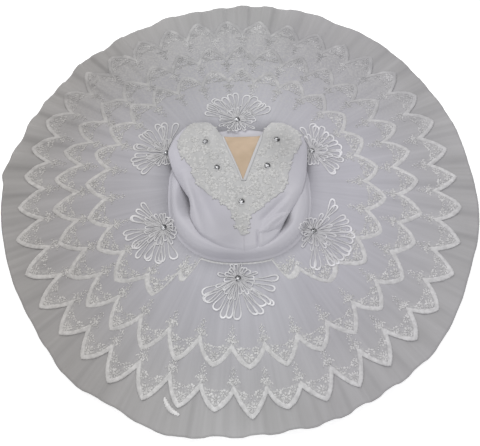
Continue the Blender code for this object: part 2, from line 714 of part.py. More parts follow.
def flower(number, x, y, turn, tier):
    """A ribbon flower on the lace, raised towards its gem, with its long loops cut through."""
    angles, radii = flower_outline()
    around = np.radians(angles + turn)
    radii = clear_of_basque(x, y, around, radii)
    points = []
    for share in FLOWER_RINGS:
        edge_x = x + share * radii * np.cos(around)
        edge_y = y + share * radii * np.sin(around)
        z = lace_level(tier, edge_x, edge_y) + FLOWER_CROWN * (1.0 - share)
        points += list(np.stack((edge_x, edge_y, z), axis=-1))
    crown = float(lace_level(tier, np.array([x]), np.array([y]))[0]) + FLOWER_CROWN
    points.append((x, y, crown))
    count = len(angles)
    faces = [(len(points) - 1, column, (column + 1) % count) for column in range(count)]
    for band in range(len(FLOWER_RINGS) - 1):
        for column in range(count):
            is_long = column < 4 * LONG_LOOPS
            if band == LOOP_BAND and is_long and column % 4 in LOOP_COLUMNS:
                continue
            inner, outer = band * count, (band + 1) * count
            after = (column + 1) % count
            faces.append((inner + column, outer + column, outer + after, inner + after))
    made = add_object(f"flower_{number}", points, faces, "ribbon")
    solidify = made.modifiers.new("wall", "SOLIDIFY")
    solidify.thickness = FLOWER_WALL
    solidify.offset = 1.0
    gem(f"flower_gem_{number}", x, y, crown + FLOWER_WALL + SEAM_GAP, (0.0, 0.0, 1.0))


def gem(name, x, y, z, normal):
    """A rhinestone: a low cone frustum, its flat back towards the cloth."""
    mesh = bpy.data.meshes.new(name)
    edit = bmesh.new()
    bmesh.ops.create_cone(
        edit,
        cap_ends=True,
        segments=GEM_SIDES,
        radius1=GEM_RADIUS,
        radius2=GEM_TABLE,
        depth=GEM_HEIGHT,
    )
    bmesh.ops.translate(edit, verts=edit.verts, vec=(0.0, 0.0, 0.5 * GEM_HEIGHT))
    edit.to_mesh(mesh)
    edit.free()
    mesh.materials.append(material(name, "crystal"))
    made = bpy.data.objects.new(name, mesh)
    bpy.data.collections[COLLECTION].objects.link(made)
    made.location = (x, y, z)
    made.rotation_euler = (math.asin(-normal[1]), math.asin(normal[0]), 0.0)


def bodice_gems():
    for number, (x, y, seat) in enumerate(BODICE_GEMS, start=1):
        across, row = bodice_place(np.array([x]), np.array([y]))
        normal = bodice_normals(across, row)[0]
        lift = BODICE_WALL + SEAM_GAP + PLASTRON_WALL + seat
        place = bodice_surface(across, row)[0] + lift * normal
        gem(f"bodice_gem_{number}", *place, normal)


# ---------------------------------------------------------------- the tutu


def build():
    for old in list(bpy.data.objects):
        bpy.data.objects.remove(old, do_unlink=True)
    collection = bpy.data.collections.new(COLLECTION)
    bpy.context.scene.collection.children.link(collection)
    for row in NETS:
        net(*row)
    for row in LACE_TIERS:
        lace(*row)
    basque()
    knickers()
    bodice()
    plastron()
    for number, row in enumerate(FLOWERS, start=1):
        flower(number, *row)
    bodice_gems()
    for made in collection.objects:
        made.location.x -= OUTLINE_CENTRE[0]
        made.location.y -= OUTLINE_CENTRE[1]


build()
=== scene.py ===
# %% [markdown]
# # A classical ballet tutu, laid out flat
# A pancake tutu is a short stack of stiff pleated nets sewn to a snug hip band, the basque, with a
# boned bodice above it. This one lies on the floor: the skirt is a shallow cone of net with three
# tiers of scalloped lace and six ribbon flowers on it, and the bodice has been laid back over the
# skirt's rear, so that its front looks up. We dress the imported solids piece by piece: each cloth is
# a surface worked out with numpy from a few named sizes, then given a thin wall.

import bpy
import numpy as np
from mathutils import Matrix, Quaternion, Vector


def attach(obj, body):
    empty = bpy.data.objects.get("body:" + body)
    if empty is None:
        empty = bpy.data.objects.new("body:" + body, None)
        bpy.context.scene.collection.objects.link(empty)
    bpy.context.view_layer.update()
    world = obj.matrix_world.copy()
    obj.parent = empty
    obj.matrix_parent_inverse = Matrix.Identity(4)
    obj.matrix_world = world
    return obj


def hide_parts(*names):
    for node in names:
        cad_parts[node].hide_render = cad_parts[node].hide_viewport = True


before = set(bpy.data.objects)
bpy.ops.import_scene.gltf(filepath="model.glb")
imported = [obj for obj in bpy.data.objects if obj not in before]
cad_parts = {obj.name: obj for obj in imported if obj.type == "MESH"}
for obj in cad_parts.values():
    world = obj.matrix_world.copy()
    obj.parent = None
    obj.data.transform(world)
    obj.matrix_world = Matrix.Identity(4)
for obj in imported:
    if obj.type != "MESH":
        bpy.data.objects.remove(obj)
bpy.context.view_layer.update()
print("packed nodes:", len(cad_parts))

# %% [markdown]
# ## Where things are measured from
# A maker draws a tutu in rings round the waist, so every table below uses angles from +X, seen from
# above, and radii from the centre of the lace rings. The finished part has its origin below the
# middle of the skirt's outline, a few millimetres away, so each mesh is moved by this offset once.

# %% Offset, and a curve through a short table
OUTLINE_CENTRE = np.array((0.00245, 0.00615, 0.0))
TURN = 2.0 * np.pi


def smooth_table(rows, at, period=None):
    """The table's value columns at the places: a cubic through its rows that never overshoots.

    Slope at a row = harmonic mean of the slopes of the two spans beside it, or 0 at a turn.
    """
    table = np.array(rows, dtype=float)
    keys, values = table[:, 0], table[:, 1:]
    at = np.asarray(at, dtype=float)
    shape, at = at.shape, at.ravel()
    if period:
        at = keys[0] + np.mod(at - keys[0], period)
        keys = np.concatenate((keys[-2:] - period, keys, keys[:3] + period))
        values = np.concatenate((values[-2:], values, values[:3]))
    steps = np.diff(values, axis=0) / np.diff(keys)[:, None]
    before, after = steps[:-1], steps[1:]
    turns = before * after <= 0.0
    inside = np.where(turns, 0.0, 2.0 * before * after / np.where(turns, 1.0, before + after))
    slopes = np.concatenate((steps[:1], inside, steps[-1:]))
    span = np.clip(np.searchsorted(keys, at, side="right") - 1, 0, len(keys) - 2)
    width = (keys[span + 1] - keys[span])[:, None]
    t = np.clip((at[:, None] - keys[span][:, None]) / width, 0.0, 1.0)
    found = (
        (2 * t**3 - 3 * t**2 + 1) * values[span]
        + (t**3 - 2 * t**2 + t) * width * slopes[span]
        + (3 * t**2 - 2 * t**3) * values[span + 1]
        + (t**3 - t**2) * width * slopes[span + 1]
    )
    return [column.reshape(shape) for column in found.T]


def ripple(angle, terms):
    """Sum of sines of the angle, one for each row of turns, phase and height."""
    return sum(height * np.sin(turns * angle + phase) for turns, phase, height in terms)


# %% [markdown]
# ## From a grid of points to a piece of cloth
# Every cloth here is a grid: rows run outwards or up, columns run anticlockwise. We hand the whole
# array to the mesh, give each corner a UV measured in metres along the cloth, so that a weave keeps
# its real size, and let a Solidify modifier add the cloth's thickness.


# %% Grid to mesh
def quads(rows, columns, closed):
    """Corner numbers of a grid's quads: inner, outer, outer next, inner next. The top faces up."""
    wide = columns if closed else columns - 1
    row, column = np.meshgrid(np.arange(rows - 1), np.arange(wide), indexing="ij")
    after = (column + 1) % columns
    corners = (row * columns + column, (row + 1) * columns + column)
    corners += ((row + 1) * columns + after, row * columns + after)
    return np.stack(corners, axis=-1).reshape(-1, 4)


def fan(here, after, middle):
    """Triangles from each edge of a ring, here to after, to the one point in its middle."""
    return np.stack((here, after, np.full(len(here), middle)), axis=-1)


def grid_uv(u, v):
    """UV of a grid, in metres: u and v are each spread over its rows and columns."""
    return np.stack(np.broadcast_arrays(u, v), axis=-1)


def add_mesh(name, points, faces, material, smooth=True):
    """One object. faces is an array, or a list where some have three corners and others four."""
    mesh = bpy.data.meshes.new(name)
    places = (np.asarray(points) - OUTLINE_CENTRE).reshape(-1, 3)
    mesh.from_pydata(places.tolist(), [], faces if isinstance(faces, list) else faces.tolist())
    mesh.validate()
    if smooth:
        mesh.shade_smooth()
    mesh.materials.append(material)
    made = bpy.data.objects.new(name, mesh)
    bpy.context.scene.collection.objects.link(made)
    return made


# %% UV, thickness and attributes
def unwrap(made, corner_uv):
    """A UV map from one u and v for each corner of each face."""
    layer = made.data.uv_layers.new(name="UVMap")
    layer.data.foreach_set("uv", corner_uv.ravel())


def add_wall(made, thickness, up=True):
    """Gives a cloth its thickness, on its surface's upper side or under it."""
    solidify = made.modifiers.new("wall", "SOLIDIFY")
    solidify.thickness = thickness
    solidify.offset = 1.0 if up else -1.0


def store(made, name, domain, values):
    """Keeps one number for each point or face in an attribute, for the finish to read."""
    layer = made.data.attributes.new(name, "FLOAT", domain)
    layer.data.foreach_set("value", values.astype(np.float32))


def cloth(name, points, uv, material, wall=0.0005, closed=False, up=True):
    """A cloth from its grid of points. uv has one column more than points if the grid is closed."""
    rows, columns = points.shape[:2]
    made = add_mesh(name, points, quads(rows, columns, closed), material)
    unwrap(made, uv.reshape(-1, 2)[quads(rows, uv.shape[1], False).ravel()])
    add_wall(made, wall, up)
    print(f"{name}: {rows} x {columns} grid")
    return made


# %% What each piece rides on and stands for
PIECES = {}


def wear(made, slot, *nodes):
    """The piece rides on the tutu's one body and stands for CAD nodes. Its slot is not used."""
    PIECES[made.name.split(".")[0]] = made
    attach(made, "root")
    if nodes:
        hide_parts(*nodes)
    return made


# %% [markdown]
# ## Finishes
# All the cloths are one cold white family, and what tells them apart is texture: nylon net is dull
# and faintly lavender, corded lace is warmer and lighter, satin has a soft broad sheen, and the
# flowers' rayon ribbon shines. A procedural material can carry all this: a fine pattern on the
# cloth's UV for threads, slow noise on Object coordinates for uneven shading, and light and shade
# painted into the colour in broad places. Its nodes are few and come back in every finish, so each
# gets a one-line helper first.


# %% Helpers for single shader nodes
def is_socket(source):
    """True for another node's socket, and not for a number or a colour."""
    return isinstance(source, bpy.types.NodeSocket)


def add_node(tree, kind, *links, **values):
    """A node of this kind. links are (input, value or output socket); values go on the node."""
    made = tree.nodes.new(kind)
    for name, value in values.items():
        setattr(made, name, value)
    for socket, source in links:
        if is_socket(source):
            tree.links.new(source, made.inputs[socket])
        else:
            made.inputs[socket].default_value = source
    return made


def coordinates(tree):
    """The piece's UV, and its Object coordinates."""
    where = add_node(tree, "ShaderNodeTexCoord")
    return where.outputs["UV"], where.outputs["Object"]


def attribute(tree, name):
    """The number that the piece's mesh keeps under this name."""
    made = add_node(tree, "ShaderNodeAttribute", attribute_name=name, attribute_type="GEOMETRY")
    return made.outputs["Fac"]


def noise(tree, vector, scale, detail=2.0):
    """A noise texture's value, with this many blotches to a metre."""
    links = ("Vector", vector), ("Scale", scale), ("Detail", detail)
    return add_node(tree, "ShaderNodeTexNoise", *links).outputs["Fac"]


def maths(tree, operation, first, second):
    """ADD, MULTIPLY or MAXIMUM of two values."""
    made = add_node(tree, "ShaderNodeMath", (0, first), (1, second), operation=operation)
    return made.outputs["Value"]


def measure(tree, operation, place, other=(0.0, 0.0, 0.0)):
    """A number from the place: its LENGTH, its DISTANCE to another, or their DOT_PRODUCT."""
    made = add_node(tree, "ShaderNodeVectorMath", (0, place), (1, other), operation=operation)
    return made.outputs["Value"]


def y_of(tree, vector):
    """Second coordinate of a vector."""
    return add_node(tree, "ShaderNodeSeparateXYZ", ("Vector", vector)).outputs["Y"]


# %% Helpers for ramps, colours and bumps
def ramp(tree, value, start, end, kind="LINEAR"):
    """0 to 1 as the value goes from start to end, in a straight line."""
    links = ("Value", value), ("From Min", start), ("From Max", end)
    return add_node(tree, "ShaderNodeMapRange", *links, interpolation_type=kind).outputs["Result"]


def fade(tree, value, start, end):
    """0 to 1 as the value goes from start to end, with soft ends."""
    return ramp(tree, value, start, end, "SMOOTHSTEP")


def mixed(tree, factor, first, second, kind="MIX"):
    """Colour from the first, where the factor is 0, to the second, where it is 1.

    Each is a colour or a socket. With MULTIPLY the second is a tint that the first is times.
    """
    first, second = (c if is_socket(c) else (*c, 1.0) for c in (first, second))
    links = ("Factor", factor), ("A", first), ("B", second)
    made = add_node(tree, "ShaderNodeMix", *links, data_type="RGBA", blend_type=kind)
    return made.outputs["Result"]


def bump(tree, height, strength, depth, under=None, invert=False):
    """Normal of a relief of this depth in metres, on top of another relief's normal."""
    links = [("Height", height), ("Strength", strength), ("Distance", depth)]
    if under:
        links.append(("Normal", under))
    return add_node(tree, "ShaderNodeBump", *links, invert=invert).outputs["Normal"]


# %% Helpers for a whole material
def base_material(name, colour, roughness, sheen=0.0, metallic=0.0):
    """A Principled material, its node tree and its shader."""
    made = bpy.data.materials.new(name)
    made.use_nodes = True
    shader = made.node_tree.nodes["Principled BSDF"]
    shader.inputs["Base Color"].default_value = (*colour, 1.0)
    shader.inputs["Roughness"].default_value = roughness
    shader.inputs["Metallic"].default_value = metallic
    shader.inputs["Sheen Weight"].default_value = sheen
    print("finish:", name)
    return made, made.node_tree, shader


def connect(tree, shader, colour, normal=None):
    """Leads the worked-out colour and normal into the shader."""
    tree.links.new(colour, shader.inputs["Base Color"])
    if normal:
        tree.links.new(normal, shader.inputs["Normal"])


# %% [markdown]
# ### Pleated net
# Tulle is a mesh of tiny six-sided holes, about a millimetre across. Two noises are laid over it:
# one drawn out along the radius, for the creases pressed into a net that is gathered at the waist,
# and a slow one, for the way that stacked layers look darker in one place than another. Light and
# shade are also painted into the colour in broad places: a tint grows along a direction, and a
# spot fades out round a point.


# %% Painted light and shade
# Painted light and shade: darker to the left, the right and the rear, lighter at the hem's diagonals.
PAINTED_LIGHT_TINTS = (  # direction seen from above, how far along it the tint starts and is full, colour
    (-1.0, 0.0, 0.01, 0.36, (0.735, 0.712, 0.69)),
    (1.0, 0.0, 0.05, 0.17, (0.945, 0.935, 0.95)),
    (0.0, 1.0, 0.04, 0.36, (0.84, 0.84, 0.84)),
    (-0.64, -0.77, 0.28, 0.42, (1.11, 1.11, 1.11)),
    (0.6, -0.8, 0.34, 0.41, (1.04, 1.04, 1.04)),
    (0.707, 0.707, 0.34, 0.45, (1.10, 1.10, 1.10)),
    (-0.707, 0.707, 0.34, 0.45, (1.15, 1.15, 1.15)),
)
# Painted shade where a share is below 1, painted light where it is above 1.
PAINTED_LIGHT_SPOTS = (  # x, y, z, how far round it the cloth is duller or lighter, share of its tone there
    (-0.022, -0.118, 0.088, 0.060, 0.86),
    (0.078, 0.070, 0.088, 0.058, 0.84),
    (-0.080, 0.125, 0.085, 0.045, 0.93),
    (-0.100, 0.190, 0.055, 0.170, 0.90),
    (-0.112, 0.045, 0.080, 0.045, 1.07),
    (-0.119, -0.047, 0.078, 0.040, 0.93),
    (0.014, 0.127, 0.062, 0.034, 1.14),
)
SPOT_CORE = 0.15  # share of a spot's reach where it is full


def with_painted_spots(tree, place, colour):
    """Painted light and shade: the colour times each spot's share, which fades out at its reach."""
    for x, y, z, reach, share in PAINTED_LIGHT_SPOTS:
        near = fade(tree, measure(tree, "DISTANCE", place, (x, y, z)), reach, SPOT_CORE * reach)
        colour = mixed(tree, near, colour, (share, share, share), "MULTIPLY")
    return colour


def with_painted_light(tree, place, colour):
    """Painted light and shade: the colour times each tint along its direction, then the spots."""
    for x, y, start, end, tint in PAINTED_LIGHT_TINTS:
        along = fade(tree, measure(tree, "DOT_PRODUCT", place, (x, y, 0.0)), start, end)
        colour = mixed(tree, along, colour, tint, "MULTIPLY")
    return with_painted_spots(tree, place, colour)


# %% Creases, tones and threads of a net
CREASES = (110.0, 5.0, 1.0)  # creases to a metre round the skirt, and towards the hem
PATCHES = 7.0  # slow patches of shade to a metre
HEM_TONE_FROM, HEM_TONE_AT = 0.22, 0.45


def creases(tree, uv, detail):
    """Noise drawn out towards the hem."""
    mapping = add_node(tree, "ShaderNodeMapping", ("Vector", uv), ("Scale", CREASES))
    return noise(tree, mapping.outputs["Vector"], 1.0, detail)


def net_tone(tree, place, streaks, low, high, waist_tones, hem_tones):
    """Dark to light where creases plus patches go from low to high; the hem has its own tones."""
    clear = ramp(tree, maths(tree, "ADD", streaks, noise(tree, place, PATCHES)), low, high)
    at_waist, at_hem = (mixed(tree, clear, *tones) for tones in (waist_tones, hem_tones))
    far = fade(tree, measure(tree, "LENGTH", place), HEM_TONE_FROM, HEM_TONE_AT)
    return mixed(tree, far, at_waist, at_hem)


def net_threads(tree, uv, hole):
    """Bump of tulle: raised threads round cells at the size of a hole."""
    links = ("Vector", uv), ("Scale", 1.0 / hole)
    look = {"feature": "DISTANCE_TO_EDGE", "voronoi_dimensions": "2D"}
    cells = add_node(tree, "ShaderNodeTexVoronoi", *links, **look)
    return bump(tree, cells.outputs["Distance"], 0.25, 0.0003, invert=True)


# %% Net finish
def net_finish(name, waist_tones, hem_tones, hole=0.0013, crease=0.10):
    """Tulle: cells at the size of a hole, radial creases along UV, slow patches of shade."""
    made, tree, shader = base_material(name, waist_tones[1], 0.82, sheen=0.10)
    uv, place = coordinates(tree)
    streaks = creases(tree, uv, 3.0)
    colour = net_tone(tree, place, streaks, 0.62, 1.36, waist_tones, hem_tones)
    normal = bump(tree, streaks, crease, 0.004, net_threads(tree, uv, hole))
    # The colour gets the painted light and shade of the tints and spots.
    connect(tree, shader, with_painted_light(tree, place, colour), normal)
    return made


NET_WAIST = (0.478, 0.475, 0.540), (0.552, 0.549, 0.620)
NET_HEM = (0.415, 0.413, 0.410), (0.505, 0.503, 0.505)
NET = net_finish("net", NET_WAIST, NET_HEM)
UNDER_NET = net_finish("under net", NET_HEM, NET_HEM)

# %% [markdown]
# ### Lace
# The lace's ground is the same kind of net, and its pattern is sewn on top of it. We model the
# pattern as relief, so the ground only needs a finish that changes with the distance from its
# scalloped edge: a mottled band where the stitching is dense, and plain net further in.


# %% Lace finishes
STITCHED_REACH = 0.034  # how far in from the edge the stitching goes
REAR_FROM, REAR_FULL = 0.06, 0.34  # y where the stitching starts to cover all the lace, and does


def lace_ground_finish(name, waist_tones, hem_tones, stitched_tone):
    """Net with mottled stitching near the edge, and all over at the rear.

    UV's v is the distance in from the edge.
    """
    made, tree, shader = base_material(name, waist_tones[1], 0.80, sheen=0.10)
    uv, place = coordinates(tree)
    near_edge = fade(tree, y_of(tree, uv), STITCHED_REACH, 0.6 * STITCHED_REACH)
    rear = fade(tree, y_of(tree, place), REAR_FROM, REAR_FULL)
    mottle = ramp(tree, noise(tree, place, 260.0, 3.0), 0.44, 0.60)
    dense = maths(tree, "MULTIPLY", maths(tree, "MAXIMUM", near_edge, rear), mottle)
    plain = net_tone(tree, place, creases(tree, uv, 2.0), 0.65, 1.35, waist_tones, hem_tones)
    colour = mixed(tree, dense, plain, stitched_tone)
    normal = bump(tree, dense, 0.5, 0.0008, net_threads(tree, uv, 0.0014))
    # The colour gets the painted light and shade of the tints and spots.
    connect(tree, shader, with_painted_light(tree, place, colour), normal)
    return made


def thread_finish(name, dark, light, roughness, rear=None):
    """Satin stitch: fine lines of thread, unevenness between motifs, patchy tones at the rear."""
    made, tree, shader = base_material(name, light, roughness, sheen=0.15)
    _, place = coordinates(tree)
    colour = mixed(tree, ramp(tree, noise(tree, place, 130.0, 3.0), 0.35, 0.65), dark, light)
    if rear:
        patchy = mixed(tree, ramp(tree, noise(tree, place, 45.0), 0.46, 0.66), *rear)
        colour = mixed(tree, ramp(tree, y_of(tree, place), 0.02, 0.30), colour, patchy)
    normal = bump(tree, noise(tree, place, 1400.0), 0.35, 0.0003)
    # The colour gets the painted light and shade of the tints and spots.
    connect(tree, shader, with_painted_light(tree, place, colour), normal)
    return made


LACE_WAIST = (0.485, 0.483, 0.520), (0.560, 0.558, 0.600)
LACE_HEM = (0.440, 0.438, 0.440), (0.530, 0.528, 0.535)
LACE_GROUND = lace_ground_finish("lace ground", LACE_WAIST, LACE_HEM, (0.585, 0.585, 0.58))
THREAD_TONES = (0.57, 0.57, 0.565), (0.79, 0.79, 0.78)
THREAD_AT_REAR = (0.48, 0.48, 0.485), (0.72, 0.72, 0.72)
BORDER_TONES = (0.63, 0.63, 0.625), (0.78, 0.78, 0.775)
BORDER_AT_REAR = (0.47, 0.47, 0.475), (0.60, 0.60, 0.60)
LACE_THREAD = thread_finish("lace thread", *THREAD_TONES, 0.7, THREAD_AT_REAR)
LACE_BORDER = thread_finish("lace border", *BORDER_TONES, 0.7, BORDER_AT_REAR)

# %% [markdown]
# ### Satin, mesh, cotton, ribbon and crystal
# Satin is smooth because its long threads float over the weave, so it gets a low roughness, a fine
# bump and hardly any pattern. The nude mesh is coarser and dull. The flowers' ribbon shines where
# it turns, and that shine is painted: an attribute of its points lightens the colour towards the
# loops' tips as a painted highlight and leaves it darker elsewhere as painted shade. A rhinestone
# is glass with a mirror behind it: each facet reflects something else, so each face has its own
# tone, from nearly black to white.


# %% Plain finishes
WAVE_PERIOD = 0.314  # metres between two bands of a wave texture whose scale is 1


def weave_finish(name, dark, light, roughness, pitch, sheen, slow=9.0):
    """A close weave: two crossed sets of threads on UV, with slow shading on Object coordinates."""
    made, tree, shader = base_material(name, light, roughness, sheen=sheen)
    uv, place = coordinates(tree)
    colour = mixed(tree, ramp(tree, noise(tree, place, slow), 0.35, 0.65), dark, light)
    links = ("Vector", uv), ("Scale", WAVE_PERIOD / pitch)
    threads = [
        add_node(tree, "ShaderNodeTexWave", *links, bands_direction=way).outputs["Fac"]
        for way in ("X", "Y")
    ]
    normal = bump(tree, maths(tree, "MAXIMUM", *threads), 0.12, 0.0002)
    # The colour gets the painted light and shade of the spots.
    connect(tree, shader, with_painted_spots(tree, place, colour), normal)
    return made


def ribbon_finish(name, shaded, bright):
    """Rayon ribbon: shaded to bright by a point attribute, a painted highlight and painted shade."""
    made, tree, shader = base_material(name, bright, 0.35, sheen=0.2)
    _, place = coordinates(tree)
    # The painted highlight, then the painted light and shade of the tints and spots.
    colour = with_painted_light(tree, place, mixed(tree, attribute(tree, "painted_highlight"), shaded, bright))
    connect(tree, shader, colour, bump(tree, noise(tree, place, 1200.0), 0.3, 0.0003))
    return made


def crystal_finish(name, dark, light):
    """Silvered glass: each facet takes its tone from the face attribute named glint."""
    made, tree, shader = base_material(name, (0.8, 0.8, 0.82), 0.18, metallic=0.35)
    connect(tree, shader, mixed(tree, attribute(tree, "glint"), dark, light))
    return made


SATIN = weave_finish("satin", (0.530, 0.522, 0.572), (0.580, 0.572, 0.616), 0.50, 0.0004, 0.20)
NUDE_TONES = (0.530, 0.405, 0.280), (0.605, 0.465, 0.335)
NUDE = weave_finish("nude mesh", *NUDE_TONES, 0.75, 0.0011, 0.1, slow=30.0)
COTTON = weave_finish("cotton", (0.52, 0.515, 0.53), (0.60, 0.595, 0.61), 0.9, 0.0008, 0.1)
RIBBON = ribbon_finish("rayon ribbon", (0.575, 0.575, 0.585), (0.95, 0.95, 0.97))
BEAD = thread_finish("clear bead", (0.80, 0.80, 0.81), (0.94, 0.94, 0.95), 0.15)
CRYSTAL = crystal_finish("crystal", (0.012, 0.012, 0.015), (0.95, 0.96, 0.98))

# %% [markdown]
# ## Camera, light and floor
# The tutu is looked at from its front and well above, about 63 degrees, from a metre and a half
# away. Soft light from a large panel, high behind the tutu, leaves the slopes that face
# the front slightly darker. The floor glows a little, as a lit white studio sweep does.

# %% Camera
EYE = Vector((0.0, -0.6497, 1.2862))
TARGET = Vector((0.0041, -0.0550, 0.0))
ROLL = np.radians(-1.48)
FOCAL_PIXELS, FRAME_PIXELS, SENSOR = 713.0, 480.0, 36.0

lens = bpy.data.cameras.new("camera")
lens.sensor_width = SENSOR
lens.lens = FOCAL_PIXELS / FRAME_PIXELS * SENSOR
camera = bpy.data.objects.new("camera", lens)
bpy.context.scene.collection.objects.link(camera)
camera.location = EYE - Vector(OUTLINE_CENTRE)
facing = (TARGET - EYE).to_track_quat("-Z", "Y")
camera.rotation_mode = "QUATERNION"
camera.rotation_quaternion = facing @ Quaternion((0.0, 0.0, 1.0), float(ROLL))
bpy.context.scene.camera = camera
print("camera:", round((EYE - TARGET).length, 3), "m from the point it looks at")


# %% Light and floor
def panel(name, at, size, power, colour):
    """A square light panel that faces the middle of the tutu."""
    light = bpy.data.lights.new(name, "AREA")
    light.size, light.energy, light.color = size, power, colour
    made = bpy.data.objects.new(name, light)
    bpy.context.scene.collection.objects.link(made)
    made.location = at
    made.rotation_euler = (-Vector(at)).to_track_quat("-Z", "Y").to_euler()


panel("overhead panel", (-0.35, 1.00, 1.60), 2.4, 22.0, (1.0, 0.995, 0.985))
panel("front panel", (0.45, -1.5, 1.3), 1.6, 3.5, (0.96, 0.975, 1.0))

world = bpy.data.worlds.new("studio")
world.use_nodes = True
sky = world.node_tree.nodes["Background"]
sky.inputs["Color"].default_value = (0.985, 0.98, 1.0, 1.0)
sky.inputs["Strength"].default_value = 0.52
bpy.context.scene.world = world
bpy.context.scene.view_settings.view_transform = "Standard"

floor_finish, _, floor_shader = base_material("studio floor", (0.88, 0.88, 0.88), 0.9)
floor_shader.inputs["Emission Color"].default_value = (1.0, 1.0, 1.0, 1.0)
floor_shader.inputs["Emission Strength"].default_value = 0.55
FLOOR_HALF = 6.0
FLOOR_LEVEL = -0.0002  # a hair below the lowest net, so that the two surfaces don't coincide
corners = FLOOR_HALF * np.array([(-1, -1, 0), (1, -1, 0), (1, 1, 0), (-1, 1, 0)])
corners[:, 2] = FLOOR_LEVEL
floor = add_mesh("floor", corners, np.array([[0, 1, 2, 3]]), floor_finish, smooth=False)

# %% [markdown]
# ## The skirt's shape
# The skirt hangs from the hip line, a squarish oval, and ends at a hem that is nearly round. In
# between it is a shallow cone with a bend, the knee, where the lace begins to weigh on it. The nets
# are pleated, so their edge runs up and down in 48 uneven waves.

# %% Hip line and hem
HIP_CENTRE = (0.0045, -0.020)
HIP_HALF_WIDTH, HIP_HALF_DEPTH, HIP_SQUARENESS = 0.132, 0.137, 2.5
HIP_LINE_POINTS = 721

HEM_OUTLINE = (  # angle, radius
    (0, 0.4765),
    (7, 0.4755),
    (17, 0.4795),
    (30, 0.4800),
    (43, 0.4855),
    (52, 0.4880),
    (62, 0.4835),
    (67, 0.4890),
    (75, 0.4845),
    (83, 0.4830),
    (88, 0.4815),
    (93, 0.4765),
    (101, 0.4745),
    (108, 0.4760),
    (115, 0.4680),
    (119, 0.4730),
    (129, 0.4665),
    (134, 0.4735),
    (139.5, 0.4660),
    (145, 0.4645),
    (149, 0.4680),
    (152.5, 0.4645),
    (156, 0.4715),
    (161, 0.4655),
    (165.5, 0.4735),
    (168.5, 0.4730),
    (172, 0.4800),
    (176, 0.4720),
    (182, 0.4700),
    (193, 0.4645),
    (204, 0.4625),
    (210, 0.4615),
    (220, 0.4665),
    (230, 0.4760),
    (240, 0.4705),
    (250, 0.4795),
    (254.5, 0.4810),
    (264, 0.4705),
    (278, 0.4680),
    (288, 0.4725),
    (297, 0.4715),
    (307, 0.4750),
    (317, 0.4795),
    (328, 0.4755),
    (338, 0.4720),
    (349, 0.4775),
    (355, 0.4780),
)


def hip_reach(angle):
    """Distance from the hip centre to a superellipse: (|cos|/a)^n + (|sin|/b)^n, to the -1/n."""
    across = np.abs(np.cos(angle)) / HIP_HALF_WIDTH
    along = np.abs(np.sin(angle)) / HIP_HALF_DEPTH
    return (across**HIP_SQUARENESS + along**HIP_SQUARENESS) ** (-1.0 / HIP_SQUARENESS)


def hip_point(angle, scale):
    """x and y on the hip line, scaled about the hip centre."""
    reach = hip_reach(angle) * scale
    return HIP_CENTRE[0] + reach * np.cos(angle), HIP_CENTRE[1] + reach * np.sin(angle)


def hip_radius(angle, scale):
    """Radius of the scaled hip line from the centre of the rings, read off half-degree points."""
    x, y = hip_point(np.linspace(-np.pi, np.pi, HIP_LINE_POINTS), scale)
    polar = np.arctan2(y, x)
    order = np.argsort(polar)
    return np.interp(angle, polar[order], np.hypot(x, y)[order], period=TURN)


def hem_radius(angle):
    """Radius of the top net's edge, from the table."""
    return smooth_table(HEM_OUTLINE, np.degrees(angle), 360.0)[0]


def ring_points(angle, radius, z):
    """x, y, z of points at an angle and radius round the skirt."""
    return np.stack((radius * np.cos(angle), radius * np.sin(angle), z + 0.0 * angle), axis=-1)


# %% Waves of the pleats
WAVES = 48
WAVE_SPACING = ((3, 0.5, 1.1), (7, 2.0, 0.6))
WAVE_HEIGHTS = ((5, 1.0, 0.28), (8, 2.6, 0.20))
WAVE_RADIAL = 0.0015  # how far the edge of a full wave swings in and out
WAVE_FLATNESS = 1.6
WAVE_CALM = (  # angle, share of the full wave: the pleats are sharper at the left rear
    (-178, 0.85),
    (-165, 0.55),
    (-148, 0.45),
    (-122, 0.45),
    (-100, 0.75),
    (-75, 0.85),
    (-50, 0.70),
    (-25, 0.55),
    (20, 0.50),
    (60, 0.50),
    (95, 0.70),
    (118, 1.00),
    (160, 1.00),
)
KNEE_RADIUS = 0.250
NET_HIP_SCALE = 0.965
NETS = {  # height at hip, knee (0: none) and hem, wave at knee and hem, how much shorter
    "net_1": (0.0600, 0.0500, 0.0170, 0.0008, 0.0044, 0.000),
    "net_2": (0.0450, 0.0000, 0.0105, 0.0000, 0.0034, 0.007),
    "net_3": (0.0260, 0.0000, 0.0052, 0.0000, 0.0022, 0.014),
    "net_4": (0.0000, 0.0000, 0.0000, 0.0000, 0.0000, 0.021),
}


def wave_phase(angle):
    """Turning of the pleats at an angle: 48 waves a turn, crowded in some places."""
    return WAVES * angle + ripple(angle, WAVE_SPACING) - ripple(0.0, WAVE_SPACING)


def wave(angle):
    """Height of the pleats from -1 to 1: a sine with flattened crests, tanh(f sin) / tanh(f)."""
    return np.tanh(WAVE_FLATNESS * np.sin(wave_phase(angle))) / np.tanh(WAVE_FLATNESS)


def wave_share(angle):
    """How deep the pleats are at an angle, as a share of their full height."""
    calm = smooth_table(WAVE_CALM, np.degrees(angle), 360.0)[0]
    return calm * (1.0 + ripple(angle, WAVE_HEIGHTS))


